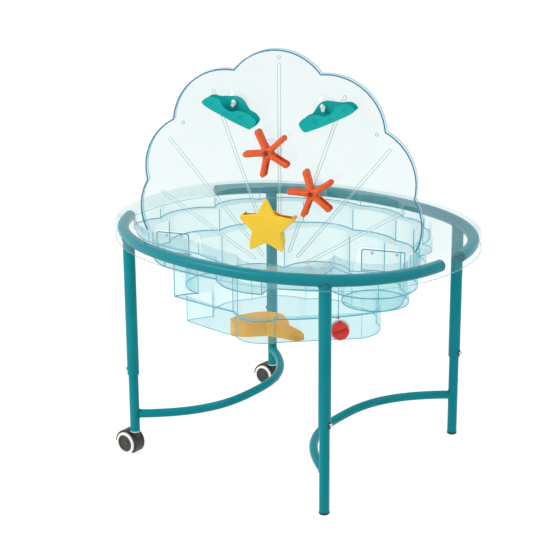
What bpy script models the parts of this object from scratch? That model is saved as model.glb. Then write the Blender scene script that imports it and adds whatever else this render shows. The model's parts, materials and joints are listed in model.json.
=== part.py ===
"""Sand and water table.

A clear one-piece basin with stepped, lobed ledges hangs by its flange from a two-part
tube ring.  Four upper legs are welded under the ring and the lower legs telescope in them.
Two lower legs end in twin-wheel casters and two in plain plugs; a curved brace joins each
pair.  A clear scallop-shell panel stands across the basin and carries two chutes, two
starfish wheels and a star-shaped tipping bucket on suction cups.

Units are metres, +Z up.  The origin is on the floor below the middle of the basin rim,
+X along the rim's long axis.
"""
import bpy
import bmesh
from math import atan, atan2, ceil, cos, hypot, pi, radians, sin, sqrt, tan
from mathutils import Matrix, Vector

# ------------------------------------------------------------------ driving dimensions
GAP = 0.0003            # clearance between touching pieces
WALL = 0.0035           # basin wall thickness

RIM_A, RIM_B, RIM_N = 0.501, 0.4127, 2.22   # half axes and exponent of the rim outline
RIM_Z = 0.6376          # top of the flange
SKIRT_Z = 0.596         # lower edge of the flange's skirt

Z1, Z2, Z3, Z4 = 0.603, 0.540, 0.435, 0.362  # ledge and floor heights inside the basin
BOWL_X, BOWL_Y, BOWL_R, BOWL_Z = 0.3175, -0.093, 0.0915, 0.505

RING_R = 0.0155         # ring tube radius
RING_WALL = 0.0015
LEG_R = 0.016           # upper leg tube
LEG_WALL = 0.0018
RING_INSET = WALL + GAP + LEG_R + 0.0008
RING_Z = RIM_Z - WALL - GAP - RING_R
LEG_X = 0.316           # leg axes stand at x = +-LEG_X on the ring's centre line
UPPER_LEG_END = 0.233
LOWER_R = 0.0132        # lower leg tube
LOWER_WALL = 0.0015
LOWER_TOP = 0.392
SCREW_Z = 0.246         # height-setting screws
HOLE_PITCH = 0.085      # spacing of the height holes
BRACE_Z, BRACE_R, BRACE_WALL = 0.117, 0.0115, 0.0014
BRACE_BOW = 0.165       # how far a brace bows in towards the middle

WHEEL_R, WHEEL_W, HUB_R = 0.031, 0.0185, 0.0235
WHEEL_IN = 0.0052       # inner face of a wheel, from the caster's middle plane
CASTER_TRAIL = 0.020
CASTER_TOP = 0.0655     # lower end of the legs that carry casters
HOOD_R, HOOD_W, HOOD_WEB = 0.0362, 0.0205, 0.0042
AXLE_R = 0.003
STEM_R = 0.0055

PANEL_YAW = radians(19.0)
PANEL_Y = -0.075        # the panel's front plane crosses x = 0 here
PANEL_U = -0.003        # the panel's middle along its own plane
PANEL_T = 0.004
PANEL_LIP = 0.020       # depth of the lip round the scalloped edge

CUP_R, CUP_H = 0.029, 0.011
POST_R = 0.0045

DRAIN_Z = 0.3935
SEG = 0.038             # chord length along outlines

# ------------------------------------------------------------------ scene helpers
for ob in list(bpy.data.objects):
    bpy.data.objects.remove(ob, do_unlink=True)

PARTS = bpy.data.collections.new("sand_water_table")
CUTTERS = bpy.data.collections.new("cutters")
bpy.context.scene.collection.children.link(PARTS)
bpy.context.scene.collection.children.link(CUTTERS)

_mats = {}


def material(name, rgb, rough, metal=0.0, alpha=1.0):
    if name in _mats:
        return _mats[name]
    m = bpy.data.materials.new(name)
    m.use_nodes = True
    b = m.node_tree.nodes["Principled BSDF"]
    b.inputs["Base Color"].default_value = (*rgb, 1.0)
    b.inputs["Roughness"].default_value = rough
    b.inputs["Metallic"].default_value = metal
    b.inputs["Alpha"].default_value = alpha
    _mats[name] = m
    return m


def link(ob, coll):
    for c in ob.users_collection:
        c.objects.unlink(ob)
    coll.objects.link(ob)


def from_bmesh(name, bm, matrix=None, coll=None):
    me = bpy.data.meshes.new(name)
    bmesh.ops.recalc_face_normals(bm, faces=bm.faces)
    bm.to_mesh(me)
    bm.free()
    ob = bpy.data.objects.new(name, me)
    (coll or CUTTERS).objects.link(ob)
    if matrix is not None:
        ob.matrix_world = matrix
    return ob


def evaluated(ob, name):
    """A mesh object with the evaluated shape of ob (curve or mesh), welded and closed."""
    dg = bpy.context.evaluated_depsgraph_get()
    dg.update()
    me = bpy.data.meshes.new_from_object(ob.evaluated_get(dg))
    new = bpy.data.objects.new(name, me)
    CUTTERS.objects.link(new)
    new.matrix_world = ob.matrix_world.copy()
    bm = bmesh.new()
    bm.from_mesh(me)
    bmesh.ops.remove_doubles(bm, verts=bm.verts, dist=0.00002)
    bmesh.ops.recalc_face_normals(bm, faces=bm.faces)
    bm.to_mesh(me)
    bm.free()
    bpy.data.objects.remove(ob, do_unlink=True)
    return new


def cylinder(name, r, length, matrix=None, segs=24, r2=None, start=0.0):
    """Cylinder or cone on the local +Z axis, from z = start to start + length."""
    bm = bmesh.new()
    bmesh.ops.create_cone(bm, cap_ends=True, cap_tris=False, segments=segs, radius1=r,
                          radius2=r if r2 is None else r2, depth=length)
    bmesh.ops.translate(bm, verts=bm.verts, vec=(0, 0, start + length / 2))
    return from_bmesh(name, bm, matrix)


def box(name, lo, hi, matrix=None):
    bm = bmesh.new()
    bmesh.ops.create_cube(bm, size=1.0)
    for v in bm.verts:
        v.co = Vector([lo[i] + (v.co[i] + 0.5) * (hi[i] - lo[i]) for i in range(3)])
    return from_bmesh(name, bm, matrix)


def plate(name, outlines, z0, z1, matrix=None):
    """Flat outline (or outline with holes) filled and extruded from z0 to z1."""
    if not isinstance(outlines[0][0], (tuple, list)):
        outlines = [outlines]
    cu = bpy.data.curves.new(name, "CURVE")
    cu.dimensions = "2D"
    cu.fill_mode = "BOTH"
    cu.extrude = (z1 - z0) / 2
    for pts in outlines:
        sp = cu.splines.new("POLY")
        sp.points.add(len(pts) - 1)
        for p, (x, y) in zip(sp.points, pts):
            p.co = (x, y, 0, 1)
        sp.use_cyclic_u = True
    ob = bpy.data.objects.new(name + "_outline", cu)
    CUTTERS.objects.link(ob)
    ob.matrix_world = (matrix or Matrix.Identity(4)) @ Matrix.Translation((0, 0, (z0 + z1) / 2))
    return evaluated(ob, name)


def rod(name, pts, r, res=2):
    """Round bar along a path."""
    cu = bpy.data.curves.new(name, "CURVE")
    cu.dimensions = "3D"
    cu.bevel_depth = r
    cu.bevel_resolution = res
    cu.use_fill_caps = True
    sp = cu.splines.new("POLY")
    sp.points.add(len(pts) - 1)
    for p, q in zip(sp.points, pts):
        p.co = (*q, 1)
    ob = bpy.data.objects.new(name + "_path", cu)
    CUTTERS.objects.link(ob)
    return evaluated(ob, name)


def combine(ob, other, op):
    """Boolean of ob with other, applied.  A cutter stays in the cutters collection."""
    m = ob.modifiers.new(op.lower(), "BOOLEAN")
    m.operation = op
    m.solver = "EXACT"
    m.object = other
    dg = bpy.context.evaluated_depsgraph_get()
    dg.update()
    me = bpy.data.meshes.new_from_object(ob.evaluated_get(dg))
    ob.modifiers.clear()
    ob.data = me
    return ob


def cut(ob, *cutters):
    for c in cutters:
        combine(ob, c, "DIFFERENCE")
        c.hide_render = True
        c.display_type = "WIRE"
    return ob


def join(ob, *others):
    for c in others:
        combine(ob, c, "UNION")
        bpy.data.objects.remove(c, do_unlink=True)
    return ob


def recentre(ob, point):
    """Moves an object's origin to a world point without moving its shape."""
    inv = ob.matrix_world.copy()
    new = Matrix.Translation(point)
    ob.data.transform(new.inverted() @ inv)
    ob.matrix_world = new
    return ob


def finish(ob, name, mat, smooth=True):
    ob.name = name
    ob.data.name = name
    link(ob, PARTS)
    ob.data.materials.clear()
    ob.data.materials.append(mat)
    for p in ob.data.polygons:
        p.material_index = 0
    if smooth:
        ob.data.shade_smooth()
        ob.data.set_sharp_from_angle(angle=radians(32))
    ob.hide_render = False
    ob.display_type = "TEXTURED"
    return ob


def frame_at(origin, x, y, z):
    m = Matrix((Vector(x), Vector(y), Vector(z))).transposed().to_4x4()
    m.translation = Vector(origin)
    return m


# ------------------------------------------------------------------ outlines
def arc(p, q, bulge, seg=SEG):
    """Points from p up to (not including) q on an arc; bulge = tan(sweep / 4), to the right."""
    dx, dy = q[0] - p[0], q[1] - p[1]
    chord = hypot(dx, dy)
    if bulge < 0.015:
        return [(p[0], p[1])]
    sweep = 4 * atan(bulge)
    rad = chord / (2 * sin(sweep / 2))
    rx, ry = dy / chord, -dx / chord
    cx = (p[0] + q[0]) / 2 - rx * rad * cos(sweep / 2)
    cy = (p[1] + q[1]) / 2 - ry * rad * cos(sweep / 2)
    a0 = atan2(p[1] - cy, p[0] - cx)
    n = max(2, ceil(rad * sweep / seg), ceil(sweep / radians(24)))
    return [(cx + rad * cos(a0 + sweep * i / n), cy + rad * sin(a0 + sweep * i / n)) for i in range(n)]


def lobed(cusps, seg=SEG):
    """Closed counter-clockwise outline of arcs that bulge outwards between its cusps."""
    pts = []
    for i, (x, y, b) in enumerate(cusps):
        nx, ny, _ = cusps[(i + 1) % len(cusps)]
        pts += arc((x, y), (nx, ny), b, seg)
    return pts


def offset(pts, d):
    """Mitred outward offset of a counter-clockwise outline."""
    out = []
    n = len(pts)
    for i in range(n):
        a, b, c = Vector(pts[i - 1]), Vector(pts[i]), Vector(pts[(i + 1) % n])
        e1, e2 = (b - a).normalized(), (c - b).normalized()
        n1, n2 = Vector((e1.y, -e1.x)), Vector((e2.y, -e2.x))
        m = (n1 + n2).normalized()
        k = d / max(m.dot(n1), 0.35)
        out.append((b.x + m.x * k, b.y + m.y * k))
    return out


def rim_point(t, inset=0.0):
    """Point of the rim's superellipse at parameter t, moved inwards by inset."""
    c, s = cos(t), sin(t)
    x = RIM_A * abs(c) ** (2 / RIM_N) * (1 if c >= 0 else -1)
    y = RIM_B * abs(s) ** (2 / RIM_N) * (1 if s >= 0 else -1)
    gx = abs(x / RIM_A) ** (RIM_N - 1) / RIM_A * (1 if x >= 0 else -1)
    gy = abs(y / RIM_B) ** (RIM_N - 1) / RIM_B * (1 if y >= 0 else -1)
    g = hypot(gx, gy)
    return x - inset * gx / g, y - inset * gy / g


def rim_param(angle):
    """Parameter whose rim point lies at the given polar angle."""
    k = (abs(tan(angle)) * RIM_A / RIM_B) ** (RIM_N / 2)
    t = atan(k)
    a = angle % (2 * pi)
    if a <= pi / 2:
        return t
    if a <= pi:
        return pi - t
    if a <= 3 * pi / 2:
        return pi + t
    return 2 * pi - t


def rim_outline(inset, n=60):
    return [rim_point(rim_param(2 * pi * (i + 0.5) / n), inset) for i in range(n)]


def leg_y():
    """The y where the ring's centre line crosses x = LEG_X."""
    lo, hi = 0.3, pi / 2 - 0.05
    for _ in range(60):
        mid = (lo + hi) / 2
        if rim_point(mid, RING_INSET)[0] > LEG_X:
            lo = mid
        else:
            hi = mid
    return rim_point(lo, RING_INSET)[1]


LEG_Y = leg_y()
LEGS = {"front": (LEG_X, -LEG_Y), "left": (-LEG_X, -LEG_Y), "right": (LEG_X, LEG_Y), "back": (-LEG_X, LEG_Y)}

OPENING = [  # the scalloped mouth in the flange, down to the first ledge
    (0.249, -0.179, 1.04), (0.372, 0.028, 0.50), (0.323, 0.125, 0.25), (0.244, 0.258, 0.30),
    (0.140, 0.316, 0.32), (-0.022, 0.346, 0.24), (-0.200, 0.318, 0.26), (-0.300, 0.236, 0.50),
    (-0.352, 0.092, 0.40), (-0.403, -0.085, 0.50), (-0.374, -0.217, 0.16), (-0.276, -0.280, 0.06),
    (-0.100, -0.288, 0.08), (0.050, -0.318, 0.853)]
LEDGE_2 = [
    (0.240, -0.180, 1.02), (0.345, 0.030, 0.38), (0.300, 0.118, 0.22), (0.226, 0.236, 0.28),
    (0.134, 0.290, 0.28), (-0.022, 0.308, 0.36), (-0.182, 0.290, 0.22), (-0.262, 0.222, 0.36),
    (-0.330, 0.085, 0.46), (-0.368, -0.090, 0.30), (-0.336, -0.196, 0.16), (-0.232, -0.270, 0.05),
    (-0.055, -0.274, 0.34), (0.118, -0.305, 0.0), (0.104, -0.256, 0.05)]
LEDGE_3 = [
    (-0.258, -0.205, 0.03), (-0.050, -0.213, 0.05), (-0.018, -0.234, 0.55), (0.082, -0.196, 0.05),
    (0.200, -0.086, 0.06), (0.262, 0.008, 0.34), (0.262, 0.132, 0.30), (0.205, 0.205, 0.32),
    (0.120, 0.256, 0.42), (0.003, 0.256, 0.80), (-0.168, 0.176, 0.62), (-0.290, 0.044, 0.62),
    (-0.222, -0.150, 0.16)]
FLOOR_4 = [
    (-0.238, -0.178, 0.04), (-0.050, -0.200, 0.46), (0.062, -0.178, 0.0), (0.228, -0.018, 0.42),
    (0.190, 0.110, 0.36), (0.060, 0.185, 0.40), (-0.080, 0.160, 0.40), (-0.205, 0.070, 0.46),
    (-0.200, -0.110, 0.10)]

CLEAR = material("clear_plastic", (0.66, 0.87, 0.88), 0.08, 0.0, 0.45)
TEAL = material("teal_paint", (0.02, 0.40, 0.44), 0.35)
TEAL_PLASTIC = material("teal_plastic", (0.02, 0.45, 0.44), 0.35)
BLACK = material("black_plastic", (0.02, 0.02, 0.022), 0.45)
CREAM = material("cream_tread", (0.80, 0.78, 0.72), 0.55)
GREY = material("grey_hub", (0.07, 0.07, 0.07), 0.5)
CHROME = material("chrome", (0.75, 0.75, 0.76), 0.2, 1.0)
ORANGE = material("orange_plastic", (0.78, 0.12, 0.04), 0.4)
YELLOW = material("yellow_plastic", (0.90, 0.60, 0.08), 0.4)
AMBER = material("amber_plastic", (0.84, 0.46, 0.08), 0.45)
RED = material("red_plastic", (0.70, 0.03, 0.02), 0.4)
WHITE = material("white_plastic", (0.80, 0.80, 0.80), 0.4)
RUBBER = material("rubber", (0.03, 0.03, 0.03), 0.7)

# ------------------------------------------------------------------ basin
tub = plate("tub", rim_outline(0.0), SKIRT_Z, RIM_Z)
cut(tub, plate("rim_underside", rim_outline(WALL), SKIRT_Z - 0.01, RIM_Z - WALL))
bowl = [(BOWL_X + BOWL_R * cos(2 * pi * i / 40), BOWL_Y + BOWL_R * sin(2 * pi * i / 40)) for i in range(40)]
pockets = [("opening", lobed(OPENING), Z1), ("ledge_2", lobed(LEDGE_2), Z2), ("ledge_3", lobed(LEDGE_3), Z3),
           ("floor_4", lobed(FLOOR_4), Z4), ("bowl", bowl, BOWL_Z)]
tops = [RIM_Z, Z1, Z2, Z3, Z2]     # each pocket hangs from the level above it
for (nm, pts, z), top in zip(pockets, tops):
    join(tub, plate(nm + "_outside", offset(pts, WALL), z - WALL, top - WALL * 0.4))
for (nm, pts, z), top in zip(pockets, tops):
    cut(tub, plate(nm + "_inside", pts, z, top + 0.002))

# drain frame: local +Z points out through the lower front wall, local +Y is up
_p, _q = Vector(FLOOR_4[2][:2]), Vector(FLOOR_4[3][:2])
_e = (_q - _p).normalized()
DRAIN_N = Vector((_e.y, -_e.x, 0.0))
_c = _p + _e * ((_q - _p).length * 0.735)
DRAIN = frame_at((_c.x, _c.y, DRAIN_Z), (_e.x, _e.y, 0), (0, 0, 1), DRAIN_N)
cut(tub, cylinder("drain_hole", 0.0125, 0.03, DRAIN, 24, start=-0.015))
BUTTON = DRAIN @ Matrix.Translation((-0.003, 0.0335, 0))
cut(tub, cylinder("button_hole", 0.0022, 0.02, BUTTON, 12, start=-0.01))
finish(tub, "tub", CLEAR)

# ------------------------------------------------------------------ drain
d = join(cylinder("drain_body", 0.0285, 0.003, DRAIN, 32, start=0.0056),
         cylinder("spout", 0.0172, 0.0170, DRAIN, 24, start=0.0056),
         cylinder("neck", 0.0119, 0.0176, DRAIN, 24, start=-0.0110))
cut(d, cylinder("drain_bore", 0.0090, 0.05, DRAIN, 20, start=-0.02))
finish(d, "drain_body", WHITE)
d = cut(cylinder("drain_gasket", 0.0200, 0.0015, DRAIN, 24, start=0.0038),
        cylinder("gasket_bore", 0.0124, 0.01, DRAIN, 24, start=0))
finish(d, "drain_gasket", RUBBER)
d = cut(cylinder("drain_nut", 0.0185, 0.0050, DRAIN, 6, start=-0.0053),
        cylinder("nut_bore", 0.0123, 0.02, DRAIN, 24, start=-0.012))
finish(d, "drain_nut", WHITE)
d = cylinder("drain_cap", 0.0236, 0.0170, DRAIN, 32, start=0.0090)
join(d, box("nub_top", (-0.0035, 0.020, 0.0100), (0.0035, 0.0268, 0.0170), DRAIN),
     box("nub_low", (-0.0035, -0.0268, 0.0100), (0.0035, -0.020, 0.0170), DRAIN))
cut(d, cylinder("cap_hollow", 0.0177, 0.0170, DRAIN, 24, start=0.0062))
finish(d, "drain_cap", RED)
d = join(cylinder("tether_button", 0.0042, 0.0025, BUTTON, 16, start=WALL + GAP),
         cylinder("button_pin", 0.0018, 0.0085, BUTTON, 12, start=-0.0030))
finish(d, "tether_button", RED)

# ------------------------------------------------------------------ ring tubes under the flange


def ring_path(a0, a1, extra=0.0):
    n = ceil(abs(a1 - a0) / radians(9.0))
    pts = [(*rim_point(rim_param(radians(0) + a0 + (a1 - a0) * i / n), RING_INSET), RING_Z) for i in range(n + 1)]
    if extra:
        for end, nxt in ((0, 1), (-1, -2)):
            v = (Vector(pts[end]) - Vector(pts[nxt])).normalized() * extra
            pts[end] = tuple(Vector(pts[end]) + v)
    return pts


ARCS = {"ring_front": (radians(199.0), radians(354.0)), "ring_rear": (radians(5.5), radians(155.0))}
PLUG_NAMES = {"ring_front": ("ring_plug_front_left", "ring_plug_front_right"),
              "ring_rear": ("ring_plug_rear_right", "ring_plug_rear_left")}
for nm, (a0, a1) in ARCS.items():
    path = ring_path(a0, a1)
    t = cut(rod(nm, path, RING_R), rod(nm + "_inside", ring_path(a0, a1, 0.002), RING_R - RING_WALL))
    finish(t, nm, TEAL)
    for end, nxt, plug_name in ((0, 1, PLUG_NAMES[nm][0]), (-1, -2, PLUG_NAMES[nm][1])):
        p = Vector(path[end])
        out = (p - Vector(path[nxt])).normalized()
        m = Matrix.Translation(p) @ out.to_track_quat("Z", "Y").to_matrix().to_4x4()
        plug = join(cylinder("plug", RING_R - 0.0003, 0.0035, m, 16, r2=RING_R - 0.0020, start=GAP),
                    cylinder("spigot", RING_R - RING_WALL - 0.0016, 0.0150, m, 12, start=-0.0140))
        finish(plug, plug_name, BLACK)

# ------------------------------------------------------------------ legs
for nm, (x, y) in LEGS.items():
    at = Matrix.Translation((x, y, 0))
    # the height screw goes in from the outer side
    side = Matrix.Translation((x, y, SCREW_Z)) @ Vector((1 if x > 0 else -1, 0, 0)).to_track_quat("Z", "Y").to_matrix().to_4x4()
    u = cylinder("upper", LEG_R, RING_Z - 0.003 - UPPER_LEG_END, at, 20, start=UPPER_LEG_END)
    cut(u, cylinder("upper_bore", LEG_R - LEG_WALL, RING_Z - RING_R - 0.006 - UPPER_LEG_END + 0.01, at, 20,
                    start=UPPER_LEG_END - 0.01))
    arcname = "ring_front" if y < 0 else "ring_rear"
    cut(u, rod(nm + "_saddle", ring_path(*ARCS[arcname]), RING_R + GAP))
    cut(u, cylinder(nm + "_screw_hole", 0.0036, 0.02, side, 12, start=0.008))
    finish(u, "upper_leg_" + nm, TEAL)
    screw = join(cylinder("washer", 0.0072, 0.0022, side, 16, start=LEG_R + GAP),
                 cylinder("head", 0.0052, 0.0040, side, 16, start=LEG_R + 0.0022, r2=0.0044),
                 cylinder("shank", 0.0030, 0.0052, side, 12, start=LOWER_R + 0.0004))
    finish(screw, "height_screw_" + nm, CHROME)
    bottom = CASTER_TOP + 0.0022 if x < 0 else 0.0063
    w = cylinder("lower", LOWER_R, LOWER_TOP - bottom, at, 20, start=bottom)
    cut(w, cylinder("lower_bore", LOWER_R - LOWER_WALL, LOWER_TOP, at, 20, start=0.0))
    for k in (1, 0):
        hole = side @ Matrix.Translation((0, 0, 0))
        hole.translation = Vector((x, y, SCREW_Z - HOLE_PITCH * k))
        cut(w, cylinder("%s_height_hole_%d" % (nm, k), 0.0036, 0.02, hole, 12, start=0.004))
    finish(w, "lower_leg_" + nm, TEAL)

for nm in ("front", "right"):
    x, y = LEGS[nm]
    at = Matrix.Translation((x, y, 0))
    f = join(cylinder("foot", LOWER_R + 0.0004, 0.0060, at, 24, r2=LOWER_R + 0.0006),
             cylinder("foot_spigot", LOWER_R - LOWER_WALL - 0.0004, 0.0200, at, 20, start=0.003))
    finish(f, "foot_plug_" + nm, BLACK)

# ------------------------------------------------------------------ braces
def brace_path(s):
    """A brace runs between the two lower legs on side x = s and bows in towards the middle."""
    n = 14
    pts = []
    for i in range(n + 1):
        v = -1 + 2 * i / n
        bow = BRACE_BOW * (1 - abs(v) ** 2.6)
        pts.append((s * (LEG_X - bow), v * LEG_Y, BRACE_Z))
    return pts


for nm, s in (("left", -1), ("right", 1)):
    b = cut(rod("brace", brace_path(s), BRACE_R), rod("brace_inside_" + nm, brace_path(s), BRACE_R - BRACE_WALL))
    for y in (-LEG_Y, LEG_Y):
        at = Matrix.Translation((s * LEG_X, y, 0))
        cut(b, cylinder("brace_end_%s" % nm, LOWER_R + GAP, 0.06, at, 20, start=BRACE_Z - 0.03))
        # nothing of the brace is left beyond the leg
        out = Matrix.Translation((s * LEG_X, y, BRACE_Z))
        sy = 1 if y > 0 else -1
        cut(b, box("brace_trim_%s" % nm, (-0.02, 0.0 if sy > 0 else -0.03, -0.02),
                   (0.02, 0.03 if sy > 0 else 0.0, 0.02), out))
    finish(b, "brace_" + nm, TEAL)

# ------------------------------------------------------------------ casters
for nm in ("left", "back"):
    x, y = LEGS[nm]
    at = Matrix.Translation((x, y, 0))
    cx = x - CASTER_TRAIL
    # axle frame: local +Z along world -Y (towards the outer wheel)
    ax = frame_at((cx, y, WHEEL_R), (1, 0, 0), (0, 0, 1), (0, -1, 0))
    bush = join(cylinder("bush", LOWER_R + 0.0004, 0.0018, at, 24, start=CASTER_TOP),
                cylinder("bush_spigot", LOWER_R - LOWER_WALL - 0.0004, 0.030, at, 20, start=CASTER_TOP))
    cut(bush, cylinder("bush_bore_" + nm, STEM_R + 0.0004, 0.05, at, 16, start=CASTER_TOP - 0.005))
    finish(bush, "caster_bush_" + nm, WHITE)
    hood = cylinder("hood", HOOD_R, 2 * HOOD_W, ax, 28, start=-HOOD_W)
    join(hood, cylinder("stem_block", 0.0128, 0.0345, at, 16, start=CASTER_TOP - 0.0006 - 0.0345))
    for side in (-1, 1):
        cut(hood, cylinder("wheel_room_%s_%d" % (nm, side), WHEEL_R + 0.0013, 0.03, ax, 28,
                           start=HOOD_WEB if side > 0 else -HOOD_WEB - 0.03))
    cut(hood, box("hood_mouth_" + nm, (-0.05, -0.05, -0.03), (0.021, -0.0005, 0.03), ax),
        box("hood_floor_" + nm, (0.0, -0.05, -0.03), (0.05, -0.0230, 0.03), ax))
    cut(hood, cylinder("hood_neck_" + nm, LOWER_R + 0.0012, 0.02, at, 20, start=CASTER_TOP - 0.0006))
    join(hood, cylinder("axle_boss", 0.0075, 2 * HOOD_WEB, ax, 16, start=-HOOD_WEB),
         cylinder("stem", STEM_R, 0.034, at, 12, start=CASTER_TOP - 0.006))
    cut(hood, cylinder("hood_axle_hole_" + nm, AXLE_R + GAP, 0.05, ax, 12, start=-0.025))
    finish(recentre(hood, (x, y, WHEEL_R)), "caster_hood_" + nm, BLACK)
    axle = cylinder("axle", AXLE_R, 0.040, ax, 12, start=-0.020)
    finish(axle, "caster_axle_" + nm, CHROME)
    for side, sn in ((1, "outer"), (-1, "inner")):
        s0 = WHEEL_IN if side > 0 else -WHEEL_IN - WHEEL_W
        tread = cylinder("tread", WHEEL_R, WHEEL_W, ax, 28, start=s0)
        cut(tread, cylinder("tread_bore_%s_%s" % (nm, sn), HUB_R + GAP, 0.03, ax, 28, start=s0 - 0.005))
        finish(tread, "wheel_tread_%s_%s" % (nm, sn), CREAM)
        hub = cylinder("hub", HUB_R, WHEEL_W - 0.0010, ax, 28, start=s0 + (0.0 if side > 0 else 0.0010))
        # the axle ends inside the hub, under its closed outer cap
        cut(hub, cylinder("hub_bore_%s_%s" % (nm, sn), AXLE_R + GAP, 0.020, ax, 12,
                          start=0.0005 if side > 0 else -0.0205))
        finish(hub, "wheel_hub_%s_%s" % (nm, sn), GREY)

# ------------------------------------------------------------------ panel
PE = Vector((cos(PANEL_YAW), sin(PANEL_YAW), 0))
PN = Vector((sin(PANEL_YAW), -cos(PANEL_YAW), 0))          # towards the front
PO = Vector((0, PANEL_Y, 0)) + PE * PANEL_U
PANEL = frame_at(PO, PE, (0, 0, 1), PN)                     # local x = along, y = up, z = front


def on_panel(u, z, depth=0.0):
    return PANEL @ Matrix.Translation((u, z, depth))


TOP_LOBES = [(0.372, 0.6040, 0.26), (0.367, 0.745, 0.34), (0.288, 0.916, 0.42), (0.117, 1.055, 0.49),
             (-0.117, 1.055, 0.42), (-0.288, 0.916, 0.34), (-0.367, 0.745, 0.26), (-0.372, 0.6040, 0.0)]
TONGUE = [(-0.346, 0.6040, 0.0), (-0.338, 0.6085, 0.0), (-0.228, 0.6085, 0.0), (-0.218, 0.6000, 0.0), (-0.206, 0.540, 0.0),
          (-0.186, 0.522, 0.0), (0.186, 0.522, 0.0), (0.206, 0.540, 0.0), (0.218, 0.6000, 0.0),
          (0.228, 0.6085, 0.0), (0.338, 0.6085, 0.0), (0.346, 0.6040, 0.0)]
shell = lobed(TOP_LOBES + TONGUE, 0.034)
edge = []
for i in range(len(TOP_LOBES) - 1):
    edge += arc(TOP_LOBES[i][:2], TOP_LOBES[i + 1][:2], TOP_LOBES[i][2], 0.034)
edge.append(TOP_LOBES[-1][:2])
panel = plate("panel", shell, -PANEL_LIP, 0.0, PANEL)
lip_in = offset(shell, -0.0032)[:len(edge)]
lip_in = [(lip_in[0][0], 0.50)] + lip_in[1:-1] + [(lip_in[-1][0], 0.50)]
cut(panel, plate("behind_panel", lip_in, -PANEL_LIP - 0.01, -PANEL_T, PANEL))

FAN = (0.006, 0.507)
RIBS = [(180 - 32.5, 0.080, 0.392), (180 - 49.5, 0.070, 0.470), (180 - 70.0, 0.118, 0.526), (90.0, 0.115, 0.570),
        (70.5, 0.075, 0.527), (51.0, 0.076, 0.470), (31.5, 0.082, 0.394)]


def stadium(width, length, n=3):
    r = width / 2
    pts = [(length - r + r * cos(-pi / 2 + pi * i / n), r * sin(-pi / 2 + pi * i / n)) for i in range(n + 1)]
    pts += [(r + r * cos(pi / 2 + pi * i / n), r * sin(pi / 2 + pi * i / n)) for i in range(n + 1)]
    return pts


for k, (deg, r0, r1) in enumerate(RIBS):
    m = on_panel(FAN[0], FAN[1]) @ Matrix.Rotation(radians(deg), 4, "Z") @ Matrix.Translation((r0, 0, 0))
    join(panel, plate("rib_%d" % k, stadium(0.0065, r1 - r0), -PANEL_T - 0.0012, -PANEL_T + 0.0015, m))
for k, (u, z) in enumerate(((0.006, 1.093), (-0.259, 0.908), (0.265, 0.908))):
    cut(panel, cylinder("panel_hole_%d" % k, 0.0035, 0.03, on_panel(u, z), 12, start=-0.02))
finish(panel, "panel", CLEAR)

# brackets stand on the second ledge behind the panel's lower corners
BRACKETS = {"left": (-0.345, -0.250), "right": (0.227, 0.345)}
for nm, (u0, u1) in BRACKETS.items():
    b = box("bracket", (u0, Z2 + GAP, -PANEL_T), (u1, 0.6035, 0.0), PANEL)
    join(b, box("bracket_foot", (u0, Z2 + GAP, -0.016), (u1, Z2 + GAP + 0.0035, -PANEL_T + 0.001), PANEL))
    for k, us in enumerate((u0 + 0.030, u1 - 0.022)):
        m = on_panel(us, 0.5945)
        cut(b, cylinder("bracket_hole_%s_%d" % (nm, k), 0.0024, 0.03, m, 12, start=-0.02))
        bolt = join(cylinder("bolt_head", 0.0042, 0.0022, m, 12, start=GAP),
                    cylinder("bolt_shank", 0.0019, 0.0100, m, 12, start=-0.0085))
        finish(bolt, "bracket_screw_%s_%d" % (nm, k + 1), CHROME)
    finish(b, "panel_bracket_" + nm, CLEAR)

# ------------------------------------------------------------------ suction cups with posts
HUBS = {"chute_left": (-0.110, 0.972), "chute_right": (0.1295, 0.9735), "starfish_upper": (-0.015, 0.8507),
        "starfish_lower": (0.1043, 0.7506), "star_bucket": (-0.0123, 0.6580)}
KNOB_AT = {"chute_left": 0.0205, "chute_right": 0.0205, "starfish_upper": 0.0455, "starfish_lower": 0.0455,
           "star_bucket": 0.0195}  # depth of each post's head
for nm, (u, z) in HUBS.items():
    m = on_panel(u, z)
    cup = cylinder("cup", CUP_R, 0.0016, m, 20, start=GAP)
    kz, kr = KNOB_AT[nm], 0.0080
    join(cup, cylinder("dome", CUP_R - 0.0006, CUP_H - 0.0016, m, 20, r2=0.0075, start=GAP + 0.0012),
         cylinder("post", POST_R, kz - 0.002, m, 12, start=0.004),
         cylinder("head", kr - 0.0012, 0.0040, m, 12, r2=kr - 0.0018, start=kz))
    cut(cup, cylinder("cup_hollow_" + nm, CUP_R - 0.0030, 0.0058, m, 20, r2=0.0080, start=-0.0004))
    finish(cup, "suction_cup_" + nm, CLEAR)

# ------------------------------------------------------------------ starfish wheels
STAR_R, ARM_W = 0.0655, 0.0150


def starfish_outline(r, w, hub):
    """Five straight arms with round ends from a small round hub."""
    pts = []
    for k in range(5):
        a = 2 * pi * k / 5
        h = w / 2
        base = sqrt(max(hub * hub - h * h, 0))
        tip = r - h
        local = [(base, -h), (tip, -h)]
        local += [(tip + h * cos(-pi / 2 + pi * i / 5), h * sin(-pi / 2 + pi * i / 5)) for i in range(1, 5)]
        local += [(tip, h), (base, h)]
        pts += [(x * cos(a) - y * sin(a), x * sin(a) + y * cos(a)) for x, y in local]
    return pts


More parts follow.
